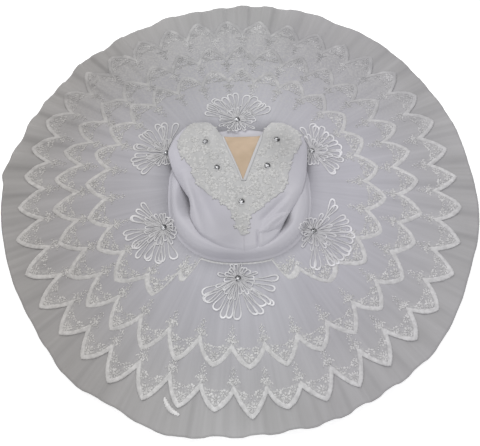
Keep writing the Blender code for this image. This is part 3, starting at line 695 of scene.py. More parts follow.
def net_mean(name, angle, radius):
    """Height of a net without its pleats, and the height of its pleats, at an angle and radius."""
    hip_z, knee_z, hem_z, knee_wave, hem_wave, _ = NETS[name]
    uneven = wave_share(angle)
    hip, hem = hip_radius(angle, NET_HIP_SCALE), hem_radius(angle)
    if not knee_z:
        share = np.clip((radius - hip) / (hem - hip), 0.0, 1.0)
        return hip_z + (hem_z - hip_z) * share, uneven * hem_wave * share
    to_knee = np.clip((radius - hip) / (KNEE_RADIUS - hip), 0.0, 1.0)
    to_hem = np.clip((radius - KNEE_RADIUS) / (hem - KNEE_RADIUS), 0.0, 1.0)
    mean = hip_z + (knee_z - hip_z) * to_knee + (hem_z - knee_z) * to_hem
    return mean, uneven * (knee_wave * to_knee + (hem_wave - knee_wave) * to_hem)


# %% [markdown]
# ## The four nets
# A real tutu has about ten nets; from outside four edges can be told apart, each a little shorter
# than the one above. The top net gets finer pleats between its waves and most of its rows near the
# hem, where it shows. Cloth that is gathered into a smaller ring keeps its length along the hem.


# %% Nets
NET_AROUND, NET_DOWN = 0.45 * TURN, 0.34  # metres that a net's UV covers round the skirt and down
NET_WALL = 0.0006
FINE_PLEATS = ((3.0, 1.0, 0.55), (4.37, 0.0, 0.35), (2.0, 0.0, 0.3))  # pleats a wave, phase, height


def pleats(angle, share):
    """Small pleats between the waves, deeper towards the hem: three sines of the wave's phase."""
    return 0.00040 * ripple(wave_phase(angle), FINE_PLEATS) * share


def net(name, columns, shares, finish):
    """A net: z = mean height + wave height x wave + small pleats, on rings from hip to hem."""
    angle = np.arange(columns) * TURN / columns
    share = np.array(shares)[:, None]
    hip = hip_radius(angle, NET_HIP_SCALE)
    hem = hem_radius(angle) - NETS[name][-1]
    radius = hip + (hem - hip) * share
    mean, height = net_mean(name, angle[None, :], radius)
    up_down = wave(angle)
    z = mean + height * up_down + pleats(angle, share) * (height > 0.0)
    radius = radius - WAVE_RADIAL * wave_share(angle) * up_down * share**4
    points = ring_points(angle[None, :] + 0.0 * share, radius, z)
    uv = grid_uv(np.linspace(0.0, NET_AROUND, columns + 1)[None, :], NET_DOWN * share)
    wear(cloth(name, points, uv, finish, wall=NET_WALL, closed=True), "net", name)


net("net_1", 1344, (0.0, 0.15, 0.33, 0.55, 0.70, *np.linspace(0.76, 1.0, 17)), NET)
for name in ("net_2", "net_3", "net_4"):
    net(name, 576, np.linspace(0.0, 1.0, 9), UNDER_NET)

# %% [markdown]
# ## Three tiers of lace
# Each tier is a strip of edging lace sewn on in a circle, so its scallops point outwards. One
# scallop runs from valley to tip and back: its side is a straight line bowed a little outwards, and
# only the last millimetres of the tip are rounded. The tiers lie on the net and on each other, and
# follow its waves a little less than fully, because corded lace is stiffer than net.

# %% Lace tiers: where the tips are
LACE_WALL = 0.0004
LACE_HIP_SCALE = 1.035
SCALLOP_BOW, SCALLOP_ROUND = 0.12, 0.07
TIERS = {  # scallops, first tip's angle, inner radius (0: hip line), lifts at hip, knee and tip
    "lace_outer": (40, -88.6, 0.300, (0.0005, 0.0005, 0.0006)),
    "lace_middle": (33, -87.4, 0.000, (0.0005, 0.0005, 0.0029)),
    "lace_inner": (27, -8.0, 0.000, (0.0013, 0.0021, 0.0038)),
}
TIER_EDGES = {  # angle, degrees by which scallops are shifted, radius of tips and of valleys
    "lace_outer": (
        (-176, 0.9, 0.4345, 0.3940),
        (-168, 1.2, 0.4385, 0.3930),
        (-159, 2.0, 0.4355, 0.3850),
        (-149, 2.5, 0.4360, 0.3890),
        (-140, 2.5, 0.4330, 0.3930),
        (-131, 2.0, 0.4345, 0.3945),
        (-122, 1.6, 0.4400, 0.3945),
        (-113, 1.6, 0.4385, 0.3925),
        (-105, 1.2, 0.4325, 0.3930),
        (-96, 0.7, 0.4290, 0.3980),
        (-88, 0.5, 0.4405, 0.3960),
        (-79, 0.0, 0.4320, 0.4050),
        (-70, -0.1, 0.4385, 0.4005),
        (-61, -0.65, 0.4415, 0.3995),
        (-48, -0.65, 0.4420, 0.3995),
        (-35, -0.3, 0.4435, 0.4100),
        (-24, 0.75, 0.4435, 0.4035),
        (-14, 0.8, 0.4420, 0.4010),
        (-4, 1.35, 0.4410, 0.4000),
        (10, 0.9, 0.4380, 0.3990),
        (25, 1.1, 0.4430, 0.4000),
        (39, 1.0, 0.4450, 0.4020),
        (50, 0.2, 0.4350, 0.3980),
        (62, -0.8, 0.4290, 0.3960),
        (90, -0.3, 0.4330, 0.3960),
        (125, 0.0, 0.4370, 0.3980),
        (150, 0.3, 0.4370, 0.3980),
        (164, 0.6, 0.4365, 0.3950),
        (173, 0.45, 0.4310, 0.3930),
    ),
    "lace_middle": (
        (-175, -0.2, 0.3620, 0.3230),
        (-163, 0.3, 0.3595, 0.3240),
        (-152, 0.7, 0.3640, 0.3195),
        (-141, 0.95, 0.3655, 0.3220),
        (-130, 0.4, 0.3645, 0.3215),
        (-119, 0.2, 0.3625, 0.3205),
        (-109, -0.3, 0.3575, 0.3145),
        (-98, -0.2, 0.3540, 0.3230),
        (-87, -0.6, 0.3570, 0.3265),
        (-77, -0.75, 0.3615, 0.3245),
        (-65, -0.6, 0.3580, 0.3250),
        (-55, -0.8, 0.3630, 0.3255),
        (-44, -0.7, 0.3620, 0.3280),
        (-33, -0.1, 0.3630, 0.3310),
        (-20, 1.4, 0.3590, 0.3280),
        (-9, 1.0, 0.3635, 0.3260),
        (2, 1.35, 0.3585, 0.3230),
        (13, 1.5, 0.3600, 0.3220),
        (23, 0.7, 0.3585, 0.3210),
        (34, 1.0, 0.3620, 0.3220),
        (44, -0.5, 0.3520, 0.3190),
        (60, -0.5, 0.3500, 0.3160),
        (90, 0.0, 0.3540, 0.3180),
        (130, 0.2, 0.3520, 0.3180),
        (143, 0.5, 0.3510, 0.3180),
        (154, 0.9, 0.3610, 0.3210),
        (163, 0.1, 0.3645, 0.3230),
        (174, -0.4, 0.3650, 0.3240),
    ),
    "lace_inner": (
        (-169, -0.8, 0.2950, 0.2620),
        (-156, -1.0, 0.2945, 0.2620),
        (-141, 0.1, 0.2970, 0.2620),
        (-128, 1.8, 0.2935, 0.2620),
        (-117, -3.0, 0.2950, 0.2620),
        (-100, -3.5, 0.2900, 0.2600),
        (-66, -4.5, 0.2900, 0.2580),
        (-50, -2.6, 0.2890, 0.2580),
        (-35, -0.3, 0.2885, 0.2580),
        (-21, 0.5, 0.2935, 0.2620),
        (-6, 1.5, 0.2920, 0.2600),
        (7, 1.9, 0.2835, 0.2560),
        (21, 2.5, 0.2765, 0.2510),
        (35, 3.2, 0.2780, 0.2520),
        (60, 2.5, 0.2830, 0.2540),
        (100, 0.0, 0.2870, 0.2560),
        (140, -2.0, 0.2950, 0.2610),
        (162, -2.7, 0.2980, 0.2630),
        (176, -2.0, 0.2980, 0.2630),
    ),
}
INNER_LACE_FRONT = (  # angle, how much nearer to the waist the inner tier's edge is
    (-146, 0.000),
    (-139, 0.000),
    (-134, 0.006),
    (-126, 0.023),
    (-122, 0.050),
    (-117.8, 0.076),
    (-113, 0.125),
    (-100, 0.160),
    (-80, 0.160),
    (-72, 0.125),
    (-65.8, 0.075),
    (-57, 0.040),
    (-50, 0.0235),
    (-42, 0.008),
    (-35, 0.000),
    (-28, 0.000),
)
HEADING = 0.0050  # least width of the inner tier at the front, where it is nearly all folded away
LACE_GAP, LACE_WAVE = 0.0012, 0.88
LIFT_RADII = (0.13, KNEE_RADIUS, 0.29, 0.36, 0.44)
TIP_RADII = {"lace_outer": 0.44, "lace_middle": 0.36, "lace_inner": 0.29}
EDGE_SETTLES, TIP_CURLS = 0.016, 0.035  # how far in an edge sinks on to the net, and a tip curls
uneven_scallops = np.random.default_rng(7)
MOST_SCALLOPS = 60
SCALLOP_LIFT = {tier: uneven_scallops.uniform(0.0, 0.0010, MOST_SCALLOPS) for tier in TIERS}


# %% Lace tiers: shape of the edge and of the surface
def tier_edge(tier, angle):
    """Shift of the scallops in radians, radius of the tips and of the valleys, from the table."""
    shift, tip, valley = smooth_table(TIER_EDGES[tier], np.degrees(angle), 360.0)
    return np.radians(shift), tip, valley


def scallop_place(tier, angle):
    """Which scallop an angle is in, and its place there: -1 and 1 at the valleys, 0 at the tip."""
    count, tip_angle = TIERS[tier][:2]
    turned = (angle - tier_edge(tier, angle)[0] - np.radians(tip_angle)) * count / TURN
    index = np.round(turned)
    return index.astype(int), 2.0 * (turned - index)


def from_scallops(tier, turned):
    """The angle of a place counted in scallops from the first tip, found in a few steps."""
    count, tip_angle = TIERS[tier][:2]
    base = np.radians(tip_angle) + turned * TURN / count
    angle = base
    for _ in range(5):
        angle = base + tier_edge(tier, angle)[0]
    return angle


def scallop_rise(place):
    """Share of the way from valley to tip: 1 - u + bow x sin(pi u).

    u goes from 0 at the tip to 1 at a valley. It is the place, rounded off near the tip: the root
    of place^2 + round^2, less round.
    """
    u = np.sqrt(place**2 + SCALLOP_ROUND**2) - SCALLOP_ROUND
    u = u / (np.sqrt(1.0 + SCALLOP_ROUND**2) - SCALLOP_ROUND)
    return 1.0 - u + SCALLOP_BOW * np.sin(np.pi * u)


def degrees_from(angle, at=0.0):
    """The angle in degrees from a direction, -180 to 180."""
    return np.mod(np.degrees(angle) - at + 180.0, 360.0) - 180.0


def scallop_edge(tier, angle):
    """Edge radius: valley + (tip - valley) x rise. The inner tier is open at the front."""
    _, tip, valley = tier_edge(tier, angle)
    edge = valley + (tip - valley) * scallop_rise(scallop_place(tier, angle)[1])
    if tier == "lace_inner":
        edge = edge - smooth_table(INNER_LACE_FRONT, degrees_from(angle))[0]
        edge = np.maximum(edge, hip_radius(angle, LACE_HIP_SCALE) + HEADING)
    return edge


def level_lifts(tier):
    """A tier's lift at each of the radii: straight from the knee to its tip, then level."""
    at_hip, at_knee, at_tip = TIERS[tier][3]
    further = np.interp(LIFT_RADII[2:], (KNEE_RADIUS, TIP_RADII[tier]), (at_knee, at_tip))
    return at_hip, at_knee, *further


def lace_level(tier, angle, radius):
    """Underside of a tier: the top net's mean, most of its waves, and a lift that fades out."""
    tip = tier_edge(tier, angle)[1]
    mean, height = net_mean("net_1", angle, radius)
    lift = np.interp(radius, LIFT_RADII, level_lifts(tier))
    settled = (radius - scallop_edge(tier, angle) + EDGE_SETTLES) / EDGE_SETTLES
    settled = np.clip(settled, 0.0, 1.0)
    lift = lift * (1.0 - 0.75 * settled**2 * (3.0 - 2.0 * settled))
    index, place = scallop_place(tier, angle)
    curl = np.clip((radius - tip + TIP_CURLS) / TIP_CURLS, 0.0, 1.0) ** 2 * (1.0 - np.abs(place))
    waves = (1.0 - LACE_WAVE) + LACE_WAVE * wave(angle)
    curl = SCALLOP_LIFT[tier][index % MOST_SCALLOPS] * curl
    return mean + height * waves + LACE_GAP + lift + curl


def tier_inner(tier, angle):
    """Radius of a tier's inner edge: a circle, or the scaled hip line."""
    return TIERS[tier][2] or hip_radius(angle, LACE_HIP_SCALE)


# %% Lace ground
LACE_AROUND = 0.38  # radius in metres at which a lace's UV has its true length
GROUND_COLUMNS, BORDER_COLUMNS = 24, 64  # columns to a scallop
GROUND_ROWS = (0.0, 0.3, 0.55, 0.72, 0.82, 0.88, 0.93, 0.965, 1.0)


def tier_columns(tier, columns):
    """Angles of the columns, and their u, which has one more to close the ring."""
    angle = from_scallops(tier, np.arange(TIERS[tier][0] * columns) / columns)
    return angle, LACE_AROUND * np.append(angle, angle[0] + TURN)[None, :]


def lace_ground(tier):
    """The net of a tier, from its inner edge to its scallops. v is the distance to the edge."""
    angle, around = tier_columns(tier, GROUND_COLUMNS)
    inner, edge = tier_inner(tier, angle), scallop_edge(tier, angle)
    share = np.array(GROUND_ROWS)[:, None]
    radius = inner + (edge - inner) * share
    z = lace_level(tier, angle[None, :], radius)
    points = ring_points(angle[None, :] + 0.0 * share, radius, z)
    depth = edge - radius
    uv = grid_uv(around, np.concatenate((depth, depth[:, :1]), axis=1))
    wear(cloth(tier, points, uv, LACE_GROUND, wall=LACE_WALL, closed=True), "lace", tier)


for tier in TIERS:
    lace_ground(tier)

# %% [markdown]
# ### Corded border
# A band of close satin stitch, about nine millimetres wide, finishes the scallops. Its inner line
# runs parallel to the edge: measured along the radius it is wider where the edge is steep, by
# the root of 1 + slope squared. The band is thickest along its middle.


# %% Border of each tier
BORDER_WIDTH, BORDER_RISE, BORDER_WALL = 0.0086, 0.0006, 0.0005
PICOTS, PICOT_SIZE = 15, 0.0009  # picots to a scallop
INNER_BUMPS, INNER_BUMP_SIZE = 5.5, 0.0012
BUMPS_UNEVEN = ((131, 0.0, 0.3), (87, 1.0, 0.3))
BORDER_OVER = 0.0004  # how far the border reaches over the ground's edge


def border_reach(tier, angle, width):
    """Width of a band parallel to the edge, measured along the radius."""
    _, tip, valley = tier_edge(tier, angle)
    place = scallop_place(tier, angle)[1]
    half_pitch = 0.5 * (tip + valley) * np.pi / TIERS[tier][0]
    steps = scallop_rise(np.abs(place) - 0.01) - scallop_rise(np.abs(place) + 0.01)
    return width * np.sqrt(1.0 + ((tip - valley) * steps / 0.02 / half_pitch) ** 2)


def border(tier):
    """The band: rows from its inner line to the edge, raised by rise x (1 - (2s - 1)^4).

    Both lines are bumpy: rounded picots outside, |sin| of the place, and longer bumps inside.
    """
    angle, around = tier_columns(tier, BORDER_COLUMNS)
    share = np.linspace(0.0, 1.0, 5)[:, None]
    place = scallop_place(tier, angle)[1]
    picots = np.abs(np.sin(0.5 * np.pi * PICOTS * (place + 1.0)))
    bumps = np.abs(np.sin(np.pi * INNER_BUMPS * place + angle * 3.0)) + ripple(angle, BUMPS_UNEVEN)
    edge = scallop_edge(tier, angle) + BORDER_OVER + PICOT_SIZE * picots
    reach = border_reach(tier, angle, BORDER_WIDTH - 0.0004 + INNER_BUMP_SIZE * bumps)
    radius = edge - np.minimum(reach, 0.6 * (edge - tier_inner(tier, angle))) * (1.0 - share)
    rise = BORDER_RISE * (1.0 - (2.0 * share - 1.0) ** 4)
    z = lace_level(tier, angle[None, :], radius) + LACE_WALL + rise
    points = ring_points(angle[None, :] + 0.0 * share, radius, z)
    uv = grid_uv(around, BORDER_WIDTH * share)
    made = cloth(f"{tier}_border", points, uv, LACE_BORDER, BORDER_WALL, closed=True, up=False)
    return wear(made, "lace")


borders = {tier: border(tier) for tier in TIERS}

# %% [markdown]
# ### Embroidery
# Inside the border each scallop holds a small bouquet: a daisy below the tip, smaller ones down
# both sides, and leaves that follow the border. From every valley a sprig of leaves and clear beads
# runs inwards. All of these are one low dome, stretched and turned: a few dozen faces, placed
# thousands of times in one array.


# %% One stitched dome, placed many times
def dome_template(sides=8):
    """A flat-bottomed dome 1 long, 1 wide and 1 high: two rings of points, a top and a bottom."""
    turn = np.arange(sides) * TURN / sides
    outer = np.stack((0.5 * np.cos(turn), 0.5 * np.sin(turn), 0.0 * turn), axis=-1)
    inner = np.stack((0.33 * np.cos(turn), 0.33 * np.sin(turn), 0.80 + 0.0 * turn), axis=-1)
    points = np.concatenate((outer, inner, [[0.0, 0.0, 1.0]], [[0.0, 0.0, -0.2]]))
    here, after = np.arange(sides), (np.arange(sides) + 1) % sides
    first_half = np.stack((here, after, after + sides), axis=-1)
    second_half = np.stack((here, after + sides, here + sides), axis=-1)
    top, bottom = fan(here + sides, after + sides, 2 * sides), fan(after, here, 2 * sides + 1)
    return points, np.concatenate((first_half, second_half, top, bottom))


DOME_POINTS, DOME_FACES = dome_template()


def dome_shapes(turn, length, width, height):
    """Points of each dome about its own centre: the template stretched, then turned."""
    x = DOME_POINTS[:, 0] * length[:, None]
    y = DOME_POINTS[:, 1] * width[:, None]
    c, s = np.cos(turn)[:, None], np.sin(turn)[:, None]
    return x * c - y * s, x * s + y * c, DOME_POINTS[:, 2] * height[:, None]


def dome_faces(count):
    """Triangles of that many domes: the template's, each time with higher point numbers."""
    numbers = len(DOME_POINTS) * np.arange(count)[:, None, None]
    return (DOME_FACES[None] + numbers).reshape(-1, 3)


def daisy(place, depth, petals, reach, length, width):
    """Rows for a daisy: place and depth of its centre, then x, y, turn, length, width, height."""
    turn = np.arange(petals) * TURN / petals + 0.3 * petals
    at = [(reach * np.cos(t), reach * np.sin(t), t) for t in turn]
    button = 0.55 * length
    rows = [(place, depth, *petal, length, width, 0.6) for petal in at]
    return [*rows, (place, depth, 0.0, 0.0, 0.0, button, button, 0.9)]


# %% The bouquet of one scallop, in millimetres from the edge
BOUQUET = (
    *daisy(0.0, 19.0, 8, 6.4, 6.8, 4.2),
    *daisy(0.0, 19.0, 5, 2.6, 3.2, 2.6),
    *daisy(-0.43, 16.5, 7, 5.2, 5.4, 4.2),
    *daisy(0.45, 16.5, 7, 5.2, 5.4, 4.2),
    *daisy(-0.84, 15.0, 5, 3.3, 4.6, 3.6),
    *daisy(0.85, 15.0, 5, 3.3, 4.6, 3.6),
)
LEAVES = (  # place, depth, x, y, turn, length, width, height
    (-0.24, 12.5, 0.0, 0.0, 0.87, 7.0, 3.0, 0.8),
    (0.24, 12.5, 0.0, 0.0, -0.87, 7.0, 3.0, 0.8),
    (-0.64, 12.3, 0.0, 0.0, 0.87, 6.6, 2.8, 0.8),
    (0.64, 12.3, 0.0, 0.0, -0.87, 6.6, 2.8, 0.8),
    (-0.24, 25.5, 0.0, 0.0, 0.35, 7.5, 2.8, 0.8),
    (0.24, 25.5, 0.0, 0.0, -0.35, 7.5, 2.8, 0.8),
    (-0.62, 22.5, 0.0, 0.0, 1.3, 6.2, 2.6, 0.8),
    (0.62, 22.5, 0.0, 0.0, -1.3, 6.2, 2.6, 0.8),
    (-0.08, 30.5, 0.0, 0.0, 2.1, 6.4, 2.4, 0.8),
    (0.08, 30.5, 0.0, 0.0, 1.0, 6.4, 2.4, 0.8),
    (0.0, 11.5, -2.4, 0.0, 0.5, 4.4, 2.6, 0.8),
    (0.0, 11.5, 2.4, 0.0, -0.5, 4.4, 2.6, 0.8),
)
SPRIG = (  # inwards from the valley
    (1.0, 0.0, 0.0, -15.0, 1.57, 8.0, 2.8, 0.8),
    (1.0, 0.0, 0.3, -22.5, 1.57, 8.0, 2.5, 0.8),
    (1.0, 0.0, -0.3, -30.0, 1.57, 8.0, 2.2, 0.8),
    (1.0, 0.0, 0.2, -37.0, 1.57, 7.0, 2.0, 0.8),
    (1.0, 0.0, 0.2, -44.0, 1.57, 6.0, 1.8, 0.8),
    (1.0, 0.0, -4.4, -17.5, -2.2, 7.0, 3.4, 0.9),
    (1.0, 0.0, 4.4, -16.5, -0.94, 7.0, 3.4, 0.9),
    (1.0, 0.0, -3.4, -25.5, -2.2, 6.2, 3.0, 0.9),
    (1.0, 0.0, 3.4, -24.5, -0.94, 6.2, 3.0, 0.9),
    (1.0, 0.0, -2.6, -33.5, -2.2, 5.4, 2.6, 0.9),
    (1.0, 0.0, 2.6, -32.5, -0.94, 5.4, 2.6, 0.9),
    (1.0, 0.0, -2.0, -41.0, -2.2, 4.4, 2.2, 0.9),
    (1.0, 0.0, 2.0, -40.0, -0.94, 4.4, 2.2, 0.9),
)
BEADS = (  # place, depth, x, y
    (1.0, 0.0, 0.0, -43.5),
    (1.0, 0.0, -4.2, -40.0),
    (1.0, 0.0, 4.0, -39.5),
    (1.0, 0.0, -6.8, -29.5),
    (1.0, 0.0, 6.8, -29.0),
    (-0.52, 16.5, 0.0, 0.0),
    (0.55, 16.5, 0.0, 0.0),
    (-0.20, 18.0, 0.0, 0.0),
    (0.20, 18.0, 0.0, 0.0),
    (-0.92, 11.5, 0.0, 0.0),
    (0.0, 34.0, 0.0, 0.0),
)


# %% Embroidery of each tier
MM = 1000.0  # millimetres in a metre
SHIFT_SPREAD, TURN_SPREAD = 0.4, 0.15  # millimetres and radians
CLEAR_OF_WAIST, CLEAR_OF_EDGE = 0.010, 0.004


def on_tier(tier, angle, radius, shapes):
    """Carries domes to the tier: x becomes angle, y becomes radius, height stays."""
    dx, dy, dz = shapes
    radii = radius[:, None] + dy
    angles = angle[:, None] + dx / radius[:, None]
    z = lace_level(tier, angles, radii) + LACE_WALL + dz
    return ring_points(angles, radii, z)


def stitched(name, tier, rows, finish, seed):
    """The rows' domes on every scallop of a tier, each a little off its drawn place."""
    rng = np.random.default_rng(seed)
    count = TIERS[tier][0]
    place, depth, x, y, turn, length, width, height = np.array(rows).T
    shape = (count, len(rows))
    middle = from_scallops(tier, np.arange(count)[:, None] + 0.5 * place[None, :])
    radius = scallop_edge(tier, middle) - border_reach(tier, middle, depth[None, :] / MM)
    radius = radius + (y + rng.normal(0.0, SHIFT_SPREAD, shape)) / MM
    angle = middle + (x + rng.normal(0.0, SHIFT_SPREAD, shape)) / MM / radius
    kept = radius > tier_inner(tier, angle) + CLEAR_OF_WAIST
    kept &= scallop_edge(tier, angle) - radius > CLEAR_OF_EDGE
    bigger = rng.uniform(0.85, 1.2, shape)
    turns = (turn + rng.normal(0.0, TURN_SPREAD, shape))[kept]
    long, wide = (length * bigger / MM)[kept], (width * bigger / MM)[kept]
    tall = np.broadcast_to(height / MM, shape)[kept]
    points = on_tier(tier, angle[kept], radius[kept], dome_shapes(turns, long, wide, tall))
    made = add_mesh(name, points, dome_faces(int(kept.sum())), finish)
    print(f"{name}: {int(kept.sum())} stitched shapes")
    return wear(made, "lace")


BEAD_SHAPE = (0.0, 2.3, 2.3, 1.6)  # turn, then length, width and height in millimetres
bead_rows = [(*row, *BEAD_SHAPE) for row in BEADS]
MOTIFS = (  # name, rows, finish, seed of the first tier
    ("bouquets", (*BOUQUET, *LEAVES), LACE_THREAD, 0),
    ("sprigs", SPRIG, LACE_THREAD, 10),
    ("beads", bead_rows, BEAD, 20),
)
trimmings = {tier: [borders[tier]] for tier in TIERS}
for number, tier in enumerate(TIERS):
    for name, motif, finish, seed in MOTIFS:
        trimmings[tier].append(stitched(f"{tier}_{name}", tier, motif, finish, seed + number))


# %% A turned-up strip of the border
CURL_ENDS, CURL_WIDTH = ((-0.1390, -0.3990), (-0.1125, -0.4300)), 0.0095
CURL_BOW, CURL_SCALLOP, CURL_RISE = 0.005, 0.0006, 0.0035
CURL_HANGS_FROM, CURL_SLOPE = 0.43, 0.16  # radius past which the strip slopes down to the net
# The strip's tones are lighter than the border's: a painted highlight on the raised edge.
LACE_CURL_HIGHLIGHT = thread_finish("lace curl", (0.74, 0.74, 0.735), (0.92, 0.92, 0.915), 0.6)


def lace_curl():
    """At the front the stitched edge has come loose and rolls up: an arch along a short arc."""
    along, over = np.linspace(0.0, 1.0, 40)[:, None], np.linspace(0.0, 1.0, 9)[None, :]
    (x0, y0), (x1, y1) = CURL_ENDS
    length = np.hypot(x1 - x0, y1 - y0)
    side = np.array((y1 - y0, x0 - x1)) / length
    width = CURL_WIDTH * np.sin(np.pi * (0.06 + 0.88 * along)) ** 0.5
    off = (over - 0.5) * width + CURL_BOW * np.sin(np.pi * along)
    off = off - CURL_SCALLOP * np.sin(TURN * 9.0 * along)
    x, y = x0 + (x1 - x0) * along + side[0] * off, y0 + (y1 - y0) * along + side[1] * off
    angle, radius = np.arctan2(y, x), np.hypot(x, y)
    level_radius = np.minimum(radius, CURL_HANGS_FROM)
    level = lace_level("lace_outer", angle, level_radius) - 0.0006
    rise = CURL_RISE * np.sin(np.pi * over) ** 0.8 * np.sin(np.pi * (0.1 + 0.8 * along))
    z = level - (radius - level_radius) * CURL_SLOPE + rise
    uv = grid_uv(CURL_WIDTH * over, length * along)
    made = cloth("lace_curl", np.stack((x, y, z), axis=-1), uv, LACE_CURL_HIGHLIGHT, wall=0.0006)
    return wear(made, "lace")


trimmings["lace_outer"].append(lace_curl())

# %% [markdown]
# ## Basque
# The basque is the satin band round the hips. Laid down, it bulges up round the front and leans
# inwards under the bodice, and on the left it falls away into a hollow. We walk a profile, from its
# foot on the skirt over the crest to its inner edge, round the hip line.

# %% Basque
BASQUE_SHAPE = (  # angle, inner edge (share of hip line), height of crest and of inner edge, crest
    (-90, 0.86, 0.0825, 0.0800, 0.44),
    (-70, 0.85, 0.0825, 0.0800, 0.44),
    (-54, 0.80, 0.0820, 0.0775, 0.44),
    (-46, 0.76, 0.0812, 0.0715, 0.47),
    (-38, 0.74, 0.0803, 0.0700, 0.50),
    (-31, 0.735, 0.0797, 0.0740, 0.50),
    (-24, 0.74, 0.0792, 0.0770, 0.48),
    (-12, 0.79, 0.0780, 0.0764, 0.46),
    (2, 0.82, 0.0755, 0.0735, 0.46),
    (30, 0.80, 0.0675, 0.0662, 0.44),
    (90, 0.78, 0.0655, 0.0660, 0.44),
    (145, 0.78, 0.0675, 0.0640, 0.46),
    (165, 0.70, 0.0735, 0.0600, 0.64),
    (180, 0.64, 0.0775, 0.0540, 0.78),
    (195, 0.63, 0.0800, 0.0540, 0.80),
    (206, 0.66, 0.0820, 0.0600, 0.72),
    (213, 0.70, 0.0825, 0.0730, 0.60),
    (224, 0.76, 0.0830, 0.0785, 0.50),
    (248, 0.84, 0.0828, 0.0800, 0.44),
)
BASQUE_FOOT = (1.046, 0.0618)  # share of the hip line, height
BASQUE_COLUMNS, BASQUE_GRID_ROWS = 288, 33
BASQUE_AROUND, BASQUE_UP = 0.84, 0.06  # metres that its UV covers
BASQUE_WRINKLES = (  # angle, share of the way up, half width, half length in degrees, height
    (-148, 0.55, 0.10, 14.0, 0.0009),
    (-128, 0.50, 0.12, 20.0, -0.0008),
    (-60, 0.45, 0.12, 18.0, -0.0009),
    (-38, 0.60, 0.10, 12.0, 0.0010),
    (-12, 0.50, 0.12, 14.0, -0.0008),
    (172, 0.62, 0.10, 10.0, -0.0010),
)


def basque_profile(inner, crest_z, inner_z, out):
    """Profile as rows of (number, scales, heights): inner edge, a turn, crest, outer side, foot."""
    crest, level = inner + out * (1.0 - inner), 0.0 * inner
    foot, foot_z = BASQUE_FOOT
    rise = crest_z - foot_z
    profile = (
        (inner, inner_z),
        (inner + 0.6 * (crest - inner), crest_z - 0.34 * (crest_z - inner_z)),
        (crest, crest_z),
        (1.0 - 0.45 * (1.0 - crest), foot_z + 0.86 * rise),
        (0.995 + level, foot_z + 0.46 * rise),
        (1.016 + level, foot_z + 0.12 * rise),
        (foot + level, foot_z + level),
    )
    return [(number, *scale, *height) for number, (scale, height) in enumerate(profile)]


def basque():
    """The profile walked round the hip line, plus wrinkles: each a Gaussian across and along."""
    angle = -np.pi + np.arange(BASQUE_COLUMNS) * TURN / BASQUE_COLUMNS
    table = basque_profile(*smooth_table(BASQUE_SHAPE, np.degrees(angle), 360.0))
    found = np.stack(smooth_table(table, np.linspace(0.0, len(table) - 1.0, BASQUE_GRID_ROWS)))
    scale, z = found[:BASQUE_COLUMNS].T, found[BASQUE_COLUMNS:].T
    up = np.linspace(1.0, 0.0, BASQUE_GRID_ROWS)[:, None]
    for at, level, wide, long, height in BASQUE_WRINKLES:
        off = degrees_from(angle, at)
        z = z + height * np.exp(-((off / long) ** 2) - ((up - level - off / 160.0) / wide) ** 2)
    points = np.stack((*hip_point(angle[None, :], scale), z), axis=-1)
    around = np.linspace(0.0, BASQUE_AROUND, BASQUE_COLUMNS + 1)[None, :]
    uv = grid_uv(around, np.linspace(0.0, BASQUE_UP, BASQUE_GRID_ROWS)[:, None])
    made = cloth("basque", points, uv, SATIN, wall=0.0012, closed=True, up=False)
    wear(made, "satin", "basque")


basque()

# %% [markdown]
# ## Bodice
# The bodice front is two satin panels with a nude V between them, and a lace plastron sewn over
# both. We describe it by two numbers: across, from -1 at the left side to 1 at the right, and row,
# from 0 at the waist to 1 at the neckline. Tables give its outline, a power curve its crown, a soft
# bump each cup, and a ridge along a line each fold.

# %% Bodice outline, crown, cups and folds
BODICE_WALL = 0.0015
BODICE_HALF_WIDTH, BODICE_LENGTH = 0.125, 0.24  # metres, on average
BODICE_ROWS = (  # row, left x, right x, height at the left, centre and right
    (0.00, -0.0705, 0.0765, 0.0850, 0.0850, 0.0850),
    (0.10, -0.0825, 0.0870, 0.0852, 0.0885, 0.0862),
    (0.20, -0.0885, 0.0985, 0.0845, 0.0905, 0.0840),
    (0.28, -0.0882, 0.1085, 0.0835, 0.0918, 0.0828),
    (0.36, -0.0905, 0.1185, 0.0825, 0.0926, 0.0815),
    (0.44, -0.0985, 0.1255, 0.0815, 0.0930, 0.0815),
    (0.55, -0.1100, 0.1320, 0.0800, 0.0930, 0.0800),
    (0.65, -0.1195, 0.1355, 0.0790, 0.0922, 0.0790),
    (0.77, -0.1270, 0.1380, 0.0785, 0.0900, 0.0780),
    (0.90, -0.1320, 0.1400, 0.0780, 0.0835, 0.0775),
    (1.00, -0.1265, 0.1375, 0.0765, 0.0755, 0.0760),
)
BODICE_CENTRE_X = (0.010, 0.014)  # at the waist and at the neckline
WAIST_LINE = (  # across, y
    (-1.00, -0.111),
    (-0.75, -0.126),
    (-0.40, -0.142),
    (0.00, -0.1475),
    (0.45, -0.142),
    (0.80, -0.127),
    (1.00, -0.111),
)
NECK_LINE = (  # across, y
    (-1.00, 0.088),
    (-0.90, 0.107),
    (-0.80, 0.122),
    (-0.66, 0.133),
    (-0.50, 0.134),
    (-0.39, 0.122),
    (-0.265, 0.098),
    (0.00, 0.098),
    (0.298, 0.096),
    (0.40, 0.117),
    (0.50, 0.128),
    (0.64, 0.127),
    (0.78, 0.117),
    (0.92, 0.103),
    (1.00, 0.086),
)
CUPS = ((-0.066, 0.078, 0.046, 0.0085), (0.082, 0.072, 0.046, 0.0085))  # x, y, radius, height
